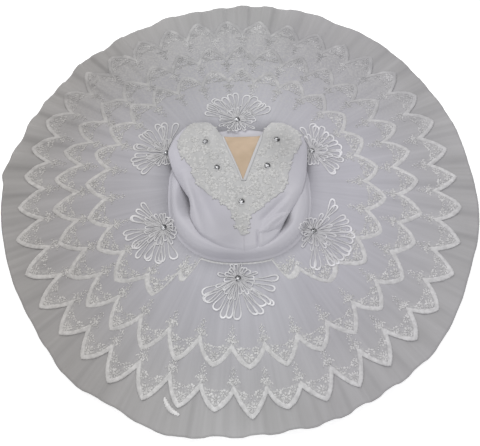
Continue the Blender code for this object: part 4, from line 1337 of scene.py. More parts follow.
FOLDS = (  # x, y of one end and of the other, half width, height (below 0 a crease)
    (-0.104, 0.024, -0.0640, -0.122, 0.0075, 0.0060),
    (-0.082, 0.006, -0.0400, -0.118, 0.0130, -0.0062),
    (-0.060, -0.020, -0.0250, -0.120, 0.0160, -0.0028),
    (0.1010, -0.0360, 0.0400, -0.0960, 0.0060, -0.0052),
    (0.120, -0.020, 0.0520, -0.0965, 0.0085, 0.0036),
    (0.0355, -0.110, 0.0352, -0.146, 0.0028, -0.0040),
    (0.0415, -0.110, 0.0420, -0.146, 0.0048, 0.0016),
    (-0.030, -0.132, 0.010, -0.141, 0.0060, -0.0006),
    (0.0520, -0.1160, 0.0900, -0.0840, 0.0032, -0.0024),
    (0.0490, -0.1090, 0.0900, -0.0780, 0.0050, 0.0014),
)
TUCK_LINE = (0.0995, -0.0725, 0.0365, -0.1155)  # x, y of its tip and of its other end
TUCK_OFFSET, TUCK_HALF_WIDTH, TUCK_HEIGHT, TUCK_CREASE = 0.0010, 0.0115, 0.0068, 0.0045
ROLL_SIDE, ROLL_SIDE_FROM, ROLL_SIDE_OVER = 0.0042, 0.92, 0.08
ROLL_WAIST, ROLL_WAIST_FROM, ROLL_WAIST_OVER = 0.0050, 0.03, 0.045


def bodice_plan(across, row):
    """x and y of a place: the sides' table gives x, the waist and neck lines give y."""
    left, right = smooth_table([r[:3] for r in BODICE_ROWS], row)
    centre = BODICE_CENTRE_X[0] + (BODICE_CENTRE_X[1] - BODICE_CENTRE_X[0]) * row
    x = centre + np.where(across < 0.0, (centre - left) * across, (right - centre) * across)
    waist, neck = smooth_table(WAIST_LINE, across)[0], smooth_table(NECK_LINE, across)[0]
    return x, waist + (neck - waist) * row


def beside_line(x, y, x0, y0, x1, y1):
    """Share of the way along a line from end 0 to end 1, and the distance to the right of it."""
    length = np.hypot(x1 - x0, y1 - y0)
    along = ((x - x0) * (x1 - x0) + (y - y0) * (y1 - y0)) / length**2
    return along, ((x - x0) * (y1 - y0) - (y - y0) * (x1 - x0)) / length


def fold_height(x, y):
    """Sum over the folds: height x sin(pi along)^0.7 x exp(-(distance off / half width)^2)."""
    height = np.zeros_like(x)
    for *line, half_width, rise in FOLDS:
        along, off = beside_line(x, y, *line)
        ends = np.sin(np.pi * np.clip(along, 0.0, 1.0)) ** 0.7
        height += rise * ends * np.exp(-((off / half_width) ** 2))
    return height


def tuck_height(x, y):
    """A leaf-shaped tuck: cos^2 rise on one side, a flat top, and a steep drop to a crease."""
    along, off = beside_line(x, y, *TUCK_LINE)
    along = np.clip(along, 0.0, 1.0)
    leaf = np.sin(np.pi * along) ** 0.75
    u = (-off - TUCK_OFFSET) / (TUCK_HALF_WIDTH * leaf + 1e-6)
    soft = np.where(np.abs(u) < 1.0, np.cos(0.5 * np.pi * np.clip(u, -1.0, 0.0)) ** 2, 0.0)
    steep = np.where((u >= 0.0) & (u < 1.0), 1.0 - u**5, soft)
    crease = np.exp(-(((u - 1.18) / 0.24) ** 2)) * np.clip(1.7 - along / 0.4, 0.0, 1.0)
    inside = (along > 0.0) & (along < 1.0)
    return np.where(inside, TUCK_HEIGHT * leaf * steep - TUCK_CREASE * leaf * crease, 0.0)


def bodice_surface(across, row):
    """The front's underside: side height + (centre - side) x (1 - |across|^3), then cups and folds.

    The sides and the waist roll under: roll x (how far past the place where it starts)^2.
    """
    across, row = np.broadcast_arrays(np.asarray(across, float), np.asarray(row, float))
    x, y = bodice_plan(across, row)
    left, centre, right = smooth_table([(r[0], *r[3:]) for r in BODICE_ROWS], row)
    side = np.where(across < 0.0, left, right)
    z = side + (centre - side) * (1.0 - np.abs(across) ** 3.0) - BODICE_WALL
    for cup_x, cup_y, radius, rise in CUPS:
        z = z + rise * np.exp(-((np.hypot(x - cup_x, y - cup_y) / radius) ** 3.0))
    past_side = (np.abs(across) - ROLL_SIDE_FROM) / ROLL_SIDE_OVER
    past_waist = (ROLL_WAIST_FROM - row) / ROLL_WAIST_OVER
    z = z - ROLL_SIDE * np.clip(past_side, 0.0, 1.0) ** 2
    z = z - ROLL_WAIST * np.clip(past_waist, 0.0, 1.0) ** 2
    return np.stack((x, y, z + fold_height(x, y) + tuck_height(x, y)), axis=-1)


def bodice_normals(across, row, step=0.01):
    """Unit normals, upwards: cross product of two small steps over the surface."""
    across, row = np.broadcast_arrays(np.asarray(across, float), np.asarray(row, float))
    along_a = bodice_surface(across + step, row) - bodice_surface(across - step, row)
    along_r = bodice_surface(across, row + step) - bodice_surface(across, row - step)
    normal = np.cross(along_a, along_r)
    return normal / np.linalg.norm(normal, axis=-1, keepdims=True)


def above_bodice(across, row, lift):
    """Points at a height above the surface, along its normals."""
    return bodice_surface(across, row) + lift * bodice_normals(across, row)


def bodice_uv(across, row):
    """UV in metres: across x half the bodice's width, row x its length."""
    return grid_uv(BODICE_HALF_WIDTH * across, BODICE_LENGTH * row)


def bodice_place(x, y):
    """Across and row of a point x, y: start in the middle and step by what is left, 60 times."""
    across, row = np.zeros_like(x), np.full_like(x, 0.5)
    for _ in range(60):
        at_x, at_y = bodice_plan(across, row)
        across = np.clip(across + (x - at_x) / BODICE_HALF_WIDTH, -1.0, 1.0)
        row = np.clip(row + (y - at_y) / BODICE_LENGTH, 0.0, 1.0)
    return across, row


# %% [markdown]
# ### Satin panels
# The fronts run from the centre seam, or from the V's slanting side, out to the side seam. The
# backs lie below them as the lower layer of the flattened bodice: only their edges show. Each panel
# is lifted along the surface's normals, so that layers never cut through one another.

# %% Helpers for the panels
INSERT_LEFT, INSERT_RIGHT, INSERT_POINT_ROW = -0.265, 0.298, 0.565
CENTRE_SEAM, INSERT_SEAM, BACK_SEAM = 0.0016, 0.0060, 0.0048


def insert_side(row, corner):
    """Place across the bodice of the V's slanting side, 0 below its point."""
    return corner * np.clip((row - INSERT_POINT_ROW) / (1.0 - INSERT_POINT_ROW), 0.0, 1.0)


def place_grid(inner, outer, rows, columns):
    """Places across and rows of a grid whose columns run from the inner to the outer line."""
    share = np.linspace(0.0, 1.0, columns)[None, :]
    across = inner[:, None] + (outer - inner)[:, None] * share
    return across, np.repeat(rows[:, None], columns, axis=1)


def panel_cloth(name, slot, across, row, lift, material, up=True):
    """A cloth on the bodice, lifted along its normals, its columns turned to run anticlockwise."""
    points, uv = above_bodice(across, row, lift), bodice_uv(across, row)
    if across[0, -1] > across[0, 0]:
        points, uv = points[:, ::-1], uv[:, ::-1]
    wear(cloth(name, points, uv, material, wall=0.0012, up=up), slot, name)


# %% Front panels, back panels and the mesh insert
for side, corner in (("left", INSERT_LEFT), ("right", INSERT_RIGHT)):
    sign = float(np.sign(corner))
    rows = np.concatenate((np.linspace(-0.015, 0.20, 40), np.linspace(0.209, 1.0, 82)))
    seam = np.where(rows < INSERT_POINT_ROW, CENTRE_SEAM, INSERT_SEAM) * sign
    grid = place_grid(insert_side(rows, corner) + 0.15 * seam, sign, rows, 84)
    panel_cloth(f"bodice_front_{side}", "satin", *grid, 0.0, SATIN)
    rows = np.linspace(0.28, 0.93, 48)
    inner = np.where(rows < 0.60, BACK_SEAM * sign, insert_side(rows, corner))
    inner = np.where(np.abs(inner) < BACK_SEAM, BACK_SEAM * sign, inner)
    grid = place_grid(inner, sign, rows, 48)
    panel_cloth(f"bodice_back_{side}", "satin", *grid, -0.0003, SATIN, up=False)

INSERT_TUCKED = 0.002  # how far the mesh goes under the satin, as a place across
rows = np.linspace(INSERT_POINT_ROW, 1.0, 40)
left, right = insert_side(rows, INSERT_LEFT), insert_side(rows, INSERT_RIGHT)
grid = place_grid(left - INSERT_TUCKED, right + INSERT_TUCKED, rows, 24)
panel_cloth("neck_insert", "nude_mesh", *grid, -0.0002, NUDE)

# %% [markdown]
# ### Binding of the V
# A folded strip of satin, three millimetres wide on one side and six on the other, covers the raw
# edges where the net is let in. It lies on top of everything, and its section is a low arch.


# %% Binding
BINDINGS = (  # side, corner of the V, width as a place across
    ("left", INSERT_LEFT, 0.026),
    ("right", INSERT_RIGHT, 0.048),
)
BINDING_LIFT, BINDING_ARCH = 0.0021, 0.0006
BINDING = weave_finish("binding satin", (0.55, 0.55, 0.56), (0.60, 0.60, 0.61), 0.6, 0.0004, 0.2)


def binding(side, corner, width):
    """A strip along the V's side: lift + arch x (1 - (2s - 1)^2) above the bodice's surface."""
    rows = np.linspace(INSERT_POINT_ROW - 0.004, 0.999, 60)
    sign = float(np.sign(corner))
    share = np.linspace(0.0, 1.0, 7)[None, :]
    across = insert_side(rows, corner)[:, None] + sign * width * share
    row = np.repeat(rows[:, None], 7, axis=1)
    arch = (1.0 - (2.0 * share - 1.0) ** 2)[..., None]
    points = above_bodice(across, row, BINDING_LIFT + BINDING_ARCH * arch)
    uv = bodice_uv(across, row)
    if sign > 0.0:
        points, uv = points[:, ::-1], uv[:, ::-1]
    return wear(cloth(f"neck_binding_{side}", points, uv, BINDING, 0.0005), "satin")


bindings = [binding(*row) for row in BINDINGS]

# %% [markdown]
# ### Plastron
# The plastron is a piece of corded lace, cut round its flowers, so its edge is a run of small
# petals. Its ground is made from the bodice's own points, moved out, and leaves the V open. Flowers
# of six petals go where there is room for them, leaves fill what is left, and thin cords curl round
# the flowers, because a lace of this kind is covered all over and yet never repeats in rows.

# %% Plastron outline
PLASTRON_ROWS = (  # row, outer edge on the left and on the right, as places across
    (0.110, -0.06, 0.045),
    (0.20, -0.15, 0.10),
    (0.27, -0.21, 0.15),
    (0.318, -0.26, 0.36),
    (0.342, -0.42, 0.52),
    (0.375, -0.62, 0.62),
    (0.44, -0.74, 0.72),
    (0.51, -0.79, 0.73),
    (0.60, -0.76, 0.73),
    (0.75, -0.86, 0.83),
    (0.86, -0.86, 0.90),
    (0.995, -0.78, 0.92),
)
PLASTRON_FIRST, PLASTRON_LAST = PLASTRON_ROWS[0][0], PLASTRON_ROWS[-1][0]


def plastron_outer(rows, sign):
    """Outer edge at the rows: the table plus two runs of small rounded petals."""
    left, right = smooth_table(PLASTRON_ROWS, rows)
    middle = (rows - PLASTRON_FIRST) / (PLASTRON_LAST - PLASTRON_FIRST)
    middle = np.sin(np.pi * np.clip(middle, 0.0, 1.0)) ** 0.3
    petals = 0.026 * np.abs(np.sin(rows * 33.0 + sign)) + 0.020 * np.abs(np.sin(rows * 13.0))
    return (left if sign < 0.0 else right) + (petals - 0.02) * middle * sign


# %% Plastron ground
PLASTRON_LIFT, PLASTRON_WALL = 0.0014, 0.0005
PLASTRON_TONES = (0.515, 0.520, 0.515), (0.605, 0.605, 0.605)
PLASTRON_GROUND = net_finish("plastron net", PLASTRON_TONES, PLASTRON_TONES, 0.0014, 0.08)


def plastron_half(corner, rows, columns):
    """Points and UV of one half, from the middle or the V's side to the outer edge."""
    sign = float(np.sign(corner))
    outer = plastron_outer(rows, sign)
    inner = np.where(rows < INSERT_POINT_ROW, 0.0, insert_side(rows, corner) + 0.001 * sign)
    grid = place_grid(inner, outer, rows, columns)
    points, uv = above_bodice(*grid, PLASTRON_LIFT), bodice_uv(*grid) + (0.0, 1.0)
    return (points[:, ::-1], uv[:, ::-1]) if sign > 0.0 else (points, uv)


def plastron():
    """Both halves side by side. Below the V's point they meet along the middle."""
    rows, columns = np.linspace(PLASTRON_FIRST, PLASTRON_LAST, 136), 40
    halves = [plastron_half(corner, rows, columns) for corner in (INSERT_LEFT, INSERT_RIGHT)]
    points = np.concatenate([points.reshape(-1, 3) for points, _ in halves])
    corners = quads(len(rows), columns, False)
    faces = np.concatenate((corners, corners + len(rows) * columns))
    made = add_mesh("plastron", points, faces, PLASTRON_GROUND)
    unwrap(made, np.concatenate([uv.reshape(-1, 2)[corners.ravel()] for _, uv in halves]))
    weld = made.modifiers.new("middle", "WELD")
    weld.merge_threshold = 0.00005
    add_wall(made, PLASTRON_WALL)
    wear(made, "lace", "plastron")


plastron()


# %% A round cord along a path
def tube(path, radius, height, sides=6):
    """Rings of points round each path: radius sideways, height upwards. path is (n, steps, 3)."""
    along = np.gradient(path, axis=1)
    along /= np.maximum(np.linalg.norm(along, axis=-1, keepdims=True), 1e-9)
    side = np.cross(along, (0.0, 0.0, 1.0))
    side /= np.maximum(np.linalg.norm(side, axis=-1, keepdims=True), 1e-9)
    above = np.cross(side, along)
    turn = np.arange(sides) * TURN / sides
    offset = radius * np.cos(turn)[:, None] * side[:, :, None]
    return path[:, :, None] + offset + height * np.sin(turn)[:, None] * above[:, :, None]


def tube_faces(count, steps, sides):
    """Quads of count tubes, with caps of quads: one cap quad for 4 sides, two for 6."""
    one = quads(steps, sides, True)
    ends = [np.array((0, 1, 2, 3)), np.array((0, 3, 4, 5))][: sides // 2 - 1]
    last = (steps - 1) * sides
    caps = np.array([*ends, *(end[::-1] + last for end in ends)])
    numbers = steps * sides * np.arange(count)[:, None, None]
    return (np.concatenate((one, caps))[None] + numbers).reshape(-1, 4)


# %% Plastron embroidery: where the motifs go
BODICE_GEMS = ((-0.058, 0.076), (-0.037, 0.021), (0.060, 0.021), (0.081, 0.077), (0.008, -0.054))
BIG_GAP, SMALL_GAP = 0.0175, 0.0088
SPOTS_TRIED, BIG_SPOTS_TRIED = 6000, 1200


def inside_plastron(x, y, margin):
    """True where a point is on the plastron, at least a margin from its edges and from the V."""
    across, row = bodice_place(x, y)
    left, right = plastron_outer(row, -1.0), plastron_outer(row, 1.0)
    inside = (row > 0.12 + 0.1 * margin) & (row < 0.985)
    inside &= (across > left + margin) & (across < right - margin)
    low, high = insert_side(row, INSERT_LEFT), insert_side(row, INSERT_RIGHT)
    open_neck = (across > low - 0.05 - margin) & (across < high + 0.05 + margin)
    return inside & ~(open_neck & (row > INSERT_POINT_ROW - 0.02))


def spaced(points, kept, gap):
    """Adds the points one by one to those kept, but drops one that is too near another."""
    for point in points:
        if all(np.hypot(point[0] - k[0], point[1] - k[1]) > gap for k in kept):
            kept.append(point)
    return kept


def plastron_spots(rng):
    """Big motifs a gap apart, one at each stone, then small ones wherever there is room left."""
    x, y = rng.uniform(-0.13, 0.145, SPOTS_TRIED), rng.uniform(-0.135, 0.135, SPOTS_TRIED)
    roomy, tight = inside_plastron(x, y, 0.045), inside_plastron(x, y, 0.0)
    roomy = list(zip(x[roomy], y[roomy], strict=True))[:BIG_SPOTS_TRIED]
    big = spaced(roomy, list(BODICE_GEMS), BIG_GAP)
    small = spaced(zip(x[tight], y[tight], strict=True), list(big), SMALL_GAP)
    return big, small[len(big) :]


spot_rng = np.random.default_rng(5)
big_spots, small_spots = plastron_spots(spot_rng)
print("plastron motifs:", len(big_spots), "big,", len(small_spots), "small")


# %% Plastron embroidery: petals and leaves
PLASTRON_THREAD = thread_finish("plastron thread", (0.58, 0.58, 0.57), (0.675, 0.675, 0.665), 0.85)
PETALS, PETAL_REACH, PETAL_SIZE = 6, 0.0050, (0.0082, 0.0058)
PETAL_HEIGHT, BUTTON_SIZE, BUTTON_HEIGHT = 0.0006, 0.0036, 0.0011
LEAF_REACH, LEAF_SIZE, LEAF_HEIGHT = 0.0028, (0.0084, 0.0042), 0.0005


def on_bodice(x, y, dz, lift):
    """Heights on the bodice: each point finds its place, then stands on the surface there."""
    base = bodice_surface(*bodice_place(x, y))
    return np.stack((x, y, base[..., 2] + lift + dz), axis=-1)


def petal_rows():
    """Six petals and a button on each big spot; three leaves or one on each small one.

    A row is x, y, turn, length, width and height.
    """
    rows = []
    for x, y in big_spots:
        size, turn = spot_rng.uniform(0.85, 1.15), spot_rng.uniform(0.0, TURN)
        for petal in turn + np.arange(PETALS) * TURN / PETALS:
            reach = PETAL_REACH * size
            at = (x + reach * np.cos(petal), y + reach * np.sin(petal))
            rows.append((*at, petal, PETAL_SIZE[0] * size, PETAL_SIZE[1] * size, PETAL_HEIGHT))
        rows.append((x, y, 0.0, BUTTON_SIZE, BUTTON_SIZE, BUTTON_HEIGHT))
    for x, y in small_spots:
        turn = spot_rng.uniform(0.0, TURN)
        leaves = (0.0, 1.0, -1.0) if spot_rng.random() < 0.5 else (0.0,)
        for leaf in turn + np.array(leaves):
            at = (x + LEAF_REACH * np.cos(leaf), y + LEAF_REACH * np.sin(leaf))
            rows.append((*at, leaf, *LEAF_SIZE, LEAF_HEIGHT))
    return rows


def bodice_petals():
    """The rows' domes, each point of them on the bodice."""
    rows = petal_rows()
    x, y, turn, length, width, height = np.array(rows).T
    dx, dy, dz = dome_shapes(turn, length, width, height)
    points = on_bodice(x[:, None] + dx, y[:, None] + dy, dz, PLASTRON_LIFT + 0.0004)
    print("plastron petals and leaves:", len(rows))
    return wear(add_mesh("plastron_petals", points, dome_faces(len(rows)), PLASTRON_THREAD), "lace")


# %% Plastron embroidery: scrolls
SCROLL_STEPS, SCROLL_TURNS = 16, 0.62
SCROLL_RADIUS, SCROLL_SHRINKS = 0.0096, 0.0016


def bodice_scrolls():
    """Thin cords that curl round the flowers, at a radius that shrinks along them."""
    spots = np.array(big_spots)
    turn = spot_rng.uniform(0.0, TURN, len(spots))
    t = np.linspace(0.0, 1.0, SCROLL_STEPS)[None, :]
    hand = np.where(spot_rng.random(len(spots)) < 0.5, -1.0, 1.0)[:, None]
    radius = SCROLL_RADIUS - SCROLL_SHRINKS * t
    angle = turn[:, None] + hand * t * SCROLL_TURNS * TURN
    x, y = spots[:, :1] + radius * np.cos(angle), spots[:, 1:] + radius * np.sin(angle)
    kept = inside_plastron(x, y, 0.01).all(axis=1)
    count = int(kept.sum())
    paths = on_bodice(x[kept], y[kept], 0.0, PLASTRON_LIFT + 0.0007)
    rings, faces = tube(paths, 0.0008, 0.0005, 4), tube_faces(count, SCROLL_STEPS, 4)
    print("plastron scrolls:", count)
    return wear(add_mesh("plastron_scrolls", rings, faces, PLASTRON_THREAD), "lace")


plastron_trim = [bodice_petals(), bodice_scrolls()]

# %% [markdown]
# ## Ribbon flowers
# Each flower is a long run of narrow shiny ribbon, laid out in loops and caught down at one point
# below a rhinestone: fourteen long loops in a fan that opens away from the waist, and two dozen
# short ones that lie over them all round. A loop is a curve that leaves the middle and comes back:
# x = length x sin(pi t) to a power, y = half width x sin(2 pi t). We carry a flat oval profile
# along it, wider towards the tip, where the ribbon lies flat.

# %% Ribbon loops
# The last column scales the ribbon's painted highlight.
FLOWERS = (  # x, y of the stone, fan's turn and width, tier below, reach, held in by, shine
    (0.0050, 0.147, 88.0, 160.0, "lace_inner", 0.074, 0.00, 0.70),
    (-0.1375, 0.074, 149.0, 160.0, "lace_inner", 0.074, 0.35, 0.70),
    (-0.1400, -0.088, 207.0, 165.0, "lace_inner", 0.078, 0.35, 1.00),
    (-0.0030, -0.194, 274.0, 170.0, "lace_middle", 0.080, 0.25, 1.15),
    (0.1420, -0.106, 338.0, 158.0, "lace_inner", 0.080, 0.35, 1.10),
    (0.1505, 0.068, 19.0, 166.0, "lace_inner", 0.068, 0.35, 1.15),
)
LONG_LOOPS, SHORT_LOOPS, LOOP_STEPS = 14, 24, 30
LONG_RIBBON, SHORT_RIBBON, RIBBON_HEIGHT = 0.0017, 0.0012, 0.0004


def both_kinds(long, short):
    """One value for each long loop and then one for each short loop, as a column."""
    return np.concatenate((np.full(LONG_LOOPS, long), np.full(SHORT_LOOPS, short)))[:, None]


def loops(turn, length, width, bend, start, arch, tip_power):
    """Paths of loops in the flower's plane, out along the turn and back.

    x = start + (length - start) x sin(pi t)^0.75. y = half width x
    sin(2 pi t) x sin(pi t)^tip_power, which keeps the neck narrow and the tip round, plus a bend
    that grows with the square of x.
    """
    t = np.linspace(0.0, 1.0, LOOP_STEPS)[None, :]
    out = np.sin(np.pi * t)
    x = start + (length[:, None] - start) * out**0.75
    y = 0.5 * width[:, None] * np.sin(TURN * t) * out**tip_power + bend[:, None] * (x / 0.08) ** 2
    c, s = np.cos(turn)[:, None], np.sin(turn)[:, None]
    return x * c - y * s, x * s + y * c, arch[:, None] * out**2


def long_loops(rng, fan_turn, fan, farthest):
    """Loops side by side in the fan, nearly flat."""
    n = LONG_LOOPS
    places = (np.arange(n) + 0.5) / n - 0.5
    turn = np.radians(fan_turn + fan * places + rng.normal(0.0, 1.5, n))
    length, width = farthest * rng.uniform(0.84, 1.0, n), rng.uniform(0.012, 0.021, n)
    bend, arch = rng.normal(0.004, 0.008, n), rng.uniform(0.0, 0.0004, n)
    return loops(turn, length, width, bend, 0.004, arch, 1.5)


def short_loops(rng, fan_turn, waist_turn, held_in):
    """Loops all round, which are shorter where they point to the waist."""
    n = SHORT_LOOPS
    turn = np.radians(fan_turn) + (np.arange(n) + rng.uniform(-0.25, 0.25, n)) * TURN / n
    length, width = rng.uniform(0.024, 0.043, n), rng.uniform(0.005, 0.010, n)
    length = length * (1.0 - held_in * np.clip(np.cos(turn - waist_turn), 0.0, 1.0))
    bend, arch = rng.normal(0.0, 0.006, n), rng.uniform(0.0, 0.0005, n)
    return loops(turn, length, width, bend, 0.003, arch, 1.0)


# %% How a flower lies and shines
FLOWER_CROWN, CROWN_RADIUS = 0.0018, 0.014
STACKED, STACK_FADES = 0.0004, 0.045  # lift of the short loops, and the radius over which it fades
HIP_CLIMB, CLIMB_FROM, CLIMB_OVER = 0.012, 1.05, 0.08  # metres, then shares of the hip line


def flower_heights(tier, x, y, reach, rise):
    """Lace below + the loops' rise + a crown in the middle. Near the hips they climb the basque."""
    ground = lace_level(tier, np.arctan2(y, x), np.hypot(x, y)) + LACE_WALL
    stack = both_kinds(0.0, STACKED) * np.clip(1.4 - reach / STACK_FADES, 0.0, 1.0)
    z = ground + RIBBON_HEIGHT + rise + stack
    z = z + FLOWER_CROWN * np.exp(-((reach / CROWN_RADIUS) ** 2))
    from_hip = x - HIP_CENTRE[0], y - HIP_CENTRE[1]
    share = np.hypot(*from_hip) / hip_reach(np.arctan2(from_hip[1], from_hip[0]))
    return z + HIP_CLIMB * np.clip((CLIMB_FROM - share) / CLIMB_OVER, 0.0, 1.0) ** 1.5


def painted_ribbon_highlight(rng, away, highlight_strength):
    """Painted highlight on each loop: bright tip, brighter on one side, a ripple from its twist."""
    count = LONG_LOOPS + SHORT_LOOPS
    loop_highlight = rng.uniform(0.55, 1.0, LONG_LOOPS), rng.uniform(0.25, 0.75, SHORT_LOOPS)
    loop_highlight = highlight_strength * np.concatenate(loop_highlight)[:, None]
    t = np.linspace(-1.0, 1.0, LOOP_STEPS)[None, :]
    side = t * rng.uniform(-5.0, 5.0, (count, 1))
    tip = 1.35 * away**6 * (1.0 - 0.75 / (1.0 + np.exp(-side)))
    ripples, phase = rng.uniform(9.0, 16.0, (count, 1)), rng.uniform(0.0, TURN, (count, 1))
    twist = 0.14 * np.sin(t * ripples + phase)
    return loop_highlight * np.clip(0.14 + tip + twist + rng.normal(0.0, 0.06, away.shape), 0.0, 1.0)


# %% Flowers
def flower(number, x, y, fan_turn, fan, tier, farthest, held_in, highlight_strength):
    """Long loops low in a fan, short ones over them all round, as one mesh of closed tubes."""
    rng = np.random.default_rng(100 + number)
    waist_turn = np.arctan2(HIP_CENTRE[1] - y, HIP_CENTRE[0] - x)
    low = long_loops(rng, fan_turn, fan, farthest)
    high = short_loops(rng, fan_turn, waist_turn, held_in)
    px, py, rise = (np.concatenate(pair) for pair in zip(low, high, strict=True))
    reach = np.hypot(px, py)
    px, py = x + px, y + py
    z = flower_heights(tier, px, py, reach, rise)
    away = reach / reach.max(axis=1, keepdims=True)
    thick = both_kinds(LONG_RIBBON, SHORT_RIBBON) * (0.65 + 0.55 * away**4)
    rings = tube(np.stack((px, py, z), axis=-1), thick[..., None, None], RIBBON_HEIGHT)
    faces = tube_faces(LONG_LOOPS + SHORT_LOOPS, LOOP_STEPS, 6)
    made = add_mesh(f"flower_{number}", rings, faces, RIBBON)
    # The ribbon's painted highlight and painted shade, one value for each point.
    store(made, "painted_highlight", "POINT", np.repeat(painted_ribbon_highlight(rng, away, highlight_strength), 6))
    wear(made, "ribbon", f"flower_{number}")
    print(f"flower_{number}: top {z[:, 0].max():.4f} m")
    return float(z[:, 0].max()) + RIBBON_HEIGHT


flower_tops = [flower(number, *row) for number, row in enumerate(FLOWERS, start=1)]

# %% [markdown]
# ## Rhinestones
# A sew-on stone is cut like a low cone: a flat table, a ring of kite-shaped facets, and a girdle.
# Its faces are flat shaded, and each has its own glint.


# %% Cut of a stone
def gem_shape(radius, height, sides=10):
    """Rings of back, girdle, crown and table. Only the crown's is turned, by half a step."""
    rings = ((1.0, 0.0, 0), (1.0, 0.22, 0), (0.80, 0.66, 1), (0.48, 1.0, 0))
    step = TURN / sides
    points = []
    for share, rise, turned in rings:
        turn = np.arange(sides) * step + turned * step / 2
        ring = radius * share * np.cos(turn), radius * share * np.sin(turn)
        points.append(np.stack((*ring, np.full(sides, rise * height)), axis=-1))
    points.append(np.array([(0.0, 0.0, 0.0), (0.0, 0.0, height)]))
    here, after = np.arange(sides), (np.arange(sides) + 1) % sides
    faces = []
    for level in range(3):
        a, b = here + level * sides, after + level * sides
        c, d = b + sides, a + sides
        halves = ((a, b, d), (b, c, d)) if level < 2 else ((a, b, c), (a, c, d))
        faces += [np.stack(half, axis=-1) for half in halves]
    faces += [fan(after, here, 4 * sides), fan(here + 3 * sides, after + 3 * sides, 4 * sides + 1)]
    return np.concatenate(points), np.concatenate(faces)


GEM_POINTS, GEM_FACES = gem_shape(0.0060, 0.0038)
GEM_SUNK = 0.0006  # how far a flower's stone sinks into the ribbon
DARK_FACETS, BRIGHT_FACETS = (0.02, 0.06, 0.30), (0.12, 0.5, 1.0)


def gem(name, x, y, z, normal, shaded, seed):
    """A stone on a surface: its points turned so that up becomes the normal.

    Facets on the shaded side are dark, where cos(angle from the side) > cos(pi x the shaded share).
    """
    turn = Vector((0.0, 0.0, 1.0)).rotation_difference(Vector(normal)).to_matrix()
    points = GEM_POINTS @ np.array(turn).T + (x, y, z)
    made = add_mesh(name, points, GEM_FACES, CRYSTAL, smooth=False)
    rng = np.random.default_rng(seed)
    middles = GEM_POINTS[GEM_FACES].mean(axis=1)
    off = np.arctan2(middles[:, 1], middles[:, 0]) - rng.uniform(0.4, 1.4)
    shadow_side = np.cos(off) > np.cos(np.pi * shaded)
    dark, bright = (rng.choice(tones, len(GEM_FACES)) for tones in (DARK_FACETS, BRIGHT_FACETS))
    store(made, "glint", "FACE", np.where(shadow_side, dark, bright))
    print(f"{name}: {int(shadow_side.sum())} of {len(GEM_FACES)} facets dark")
    wear(made, "crystal", name)


# %% Stones of the flowers and of the bodice
FLOWER_GEMS_SHADED = (0.53, 0.42, 0.50, 0.62, 0.53, 0.32)
BODICE_GEMS_SHADED = (0.62, 0.53, 0.55, 0.80, 0.42)
flower_stones = zip(FLOWERS, flower_tops, FLOWER_GEMS_SHADED, strict=True)
for number, ((x, y, *_), top, shaded) in enumerate(flower_stones, start=1):
    gem(f"flower_gem_{number}", x, y, top - GEM_SUNK, (0.0, 0.0, 1.0), shaded, number)
bodice_stones = zip(BODICE_GEMS, BODICE_GEMS_SHADED, strict=True)
for number, ((x, y), shaded) in enumerate(bodice_stones, start=1):
    place = bodice_place(np.array([x]), np.array([y]))
    normal = bodice_normals(*place)[0]
    at = bodice_surface(*place)[0] + (PLASTRON_LIFT + 0.0006) * normal
    gem(f"bodice_gem_{number}", *at, normal, shaded, 20 + number)

# %% [markdown]
# ## Knickers
# The knickers fill the ring of the hips. They are pushed together into a low heap, so we make one
# rounded form: a crumpled underside with the two leg openings, a side with the grooves of the
# folded layers, and a top that follows the bodice lying on it.

# %% Knickers
KNICKERS_SIDE = (  # share of the hip line, height
    (0.930, 0.0000),
    (0.952, 0.0040),
    (0.938, 0.0110),
    (0.956, 0.0170),
    (0.938, 0.0235),
    (0.956, 0.0300),
    (0.936, 0.0370),
    (0.952, 0.0430),
    (0.925, 0.0500),
    (0.880, 0.0545),
)
LEG_OPENINGS = ((-0.058, -0.020), (0.066, -0.022))
LEG_RADII, LEG_GATHERS, LEG_DEPTH = (0.036, 0.070), 26, 0.012
KNICKERS_COLUMNS = 240
WIDEST = 0.958  # share of the hip line: the heap stays inside the nets
BELOW_BODICE, BELOW_BASQUE, RIM_AT_MOST = 0.0042, 0.004, 0.0585


# %% Underside of the knickers
def knickers_underside(x, y):
    """Height of the underside: crossing creases, and round each leg an elastic with gathers.

    Inside a leg the cloth goes up by the depth; the elastic itself rests on the floor.
    """
    creases = 0.0014 * np.sin(70.0 * x + 20.0 * np.sin(18.0 * y))
    creases = creases + 0.0010 * np.sin(95.0 * y + 45.0 * x)
    z = 0.0026 + creases
    for leg_x, leg_y in LEG_OPENINGS:
        off = np.hypot((x - leg_x) / LEG_RADII[0], (y - leg_y) / LEG_RADII[1])
        turn = np.arctan2(y - leg_y, x - leg_x)
        gathers = 0.0012 * np.sin(LEG_GATHERS * turn) * np.exp(-(((off - 1.14) / 0.20) ** 2))
        elastic = np.exp(-(((off - 1.0) / 0.07) ** 2))
        inside = np.clip((1.0 - off) / 0.22, 0.0, 1.0)
        z = z * (1.0 - elastic) + gathers + LEG_DEPTH * inside**2 * (3.0 - 2.0 * inside)
    return np.maximum(z, 0.0)


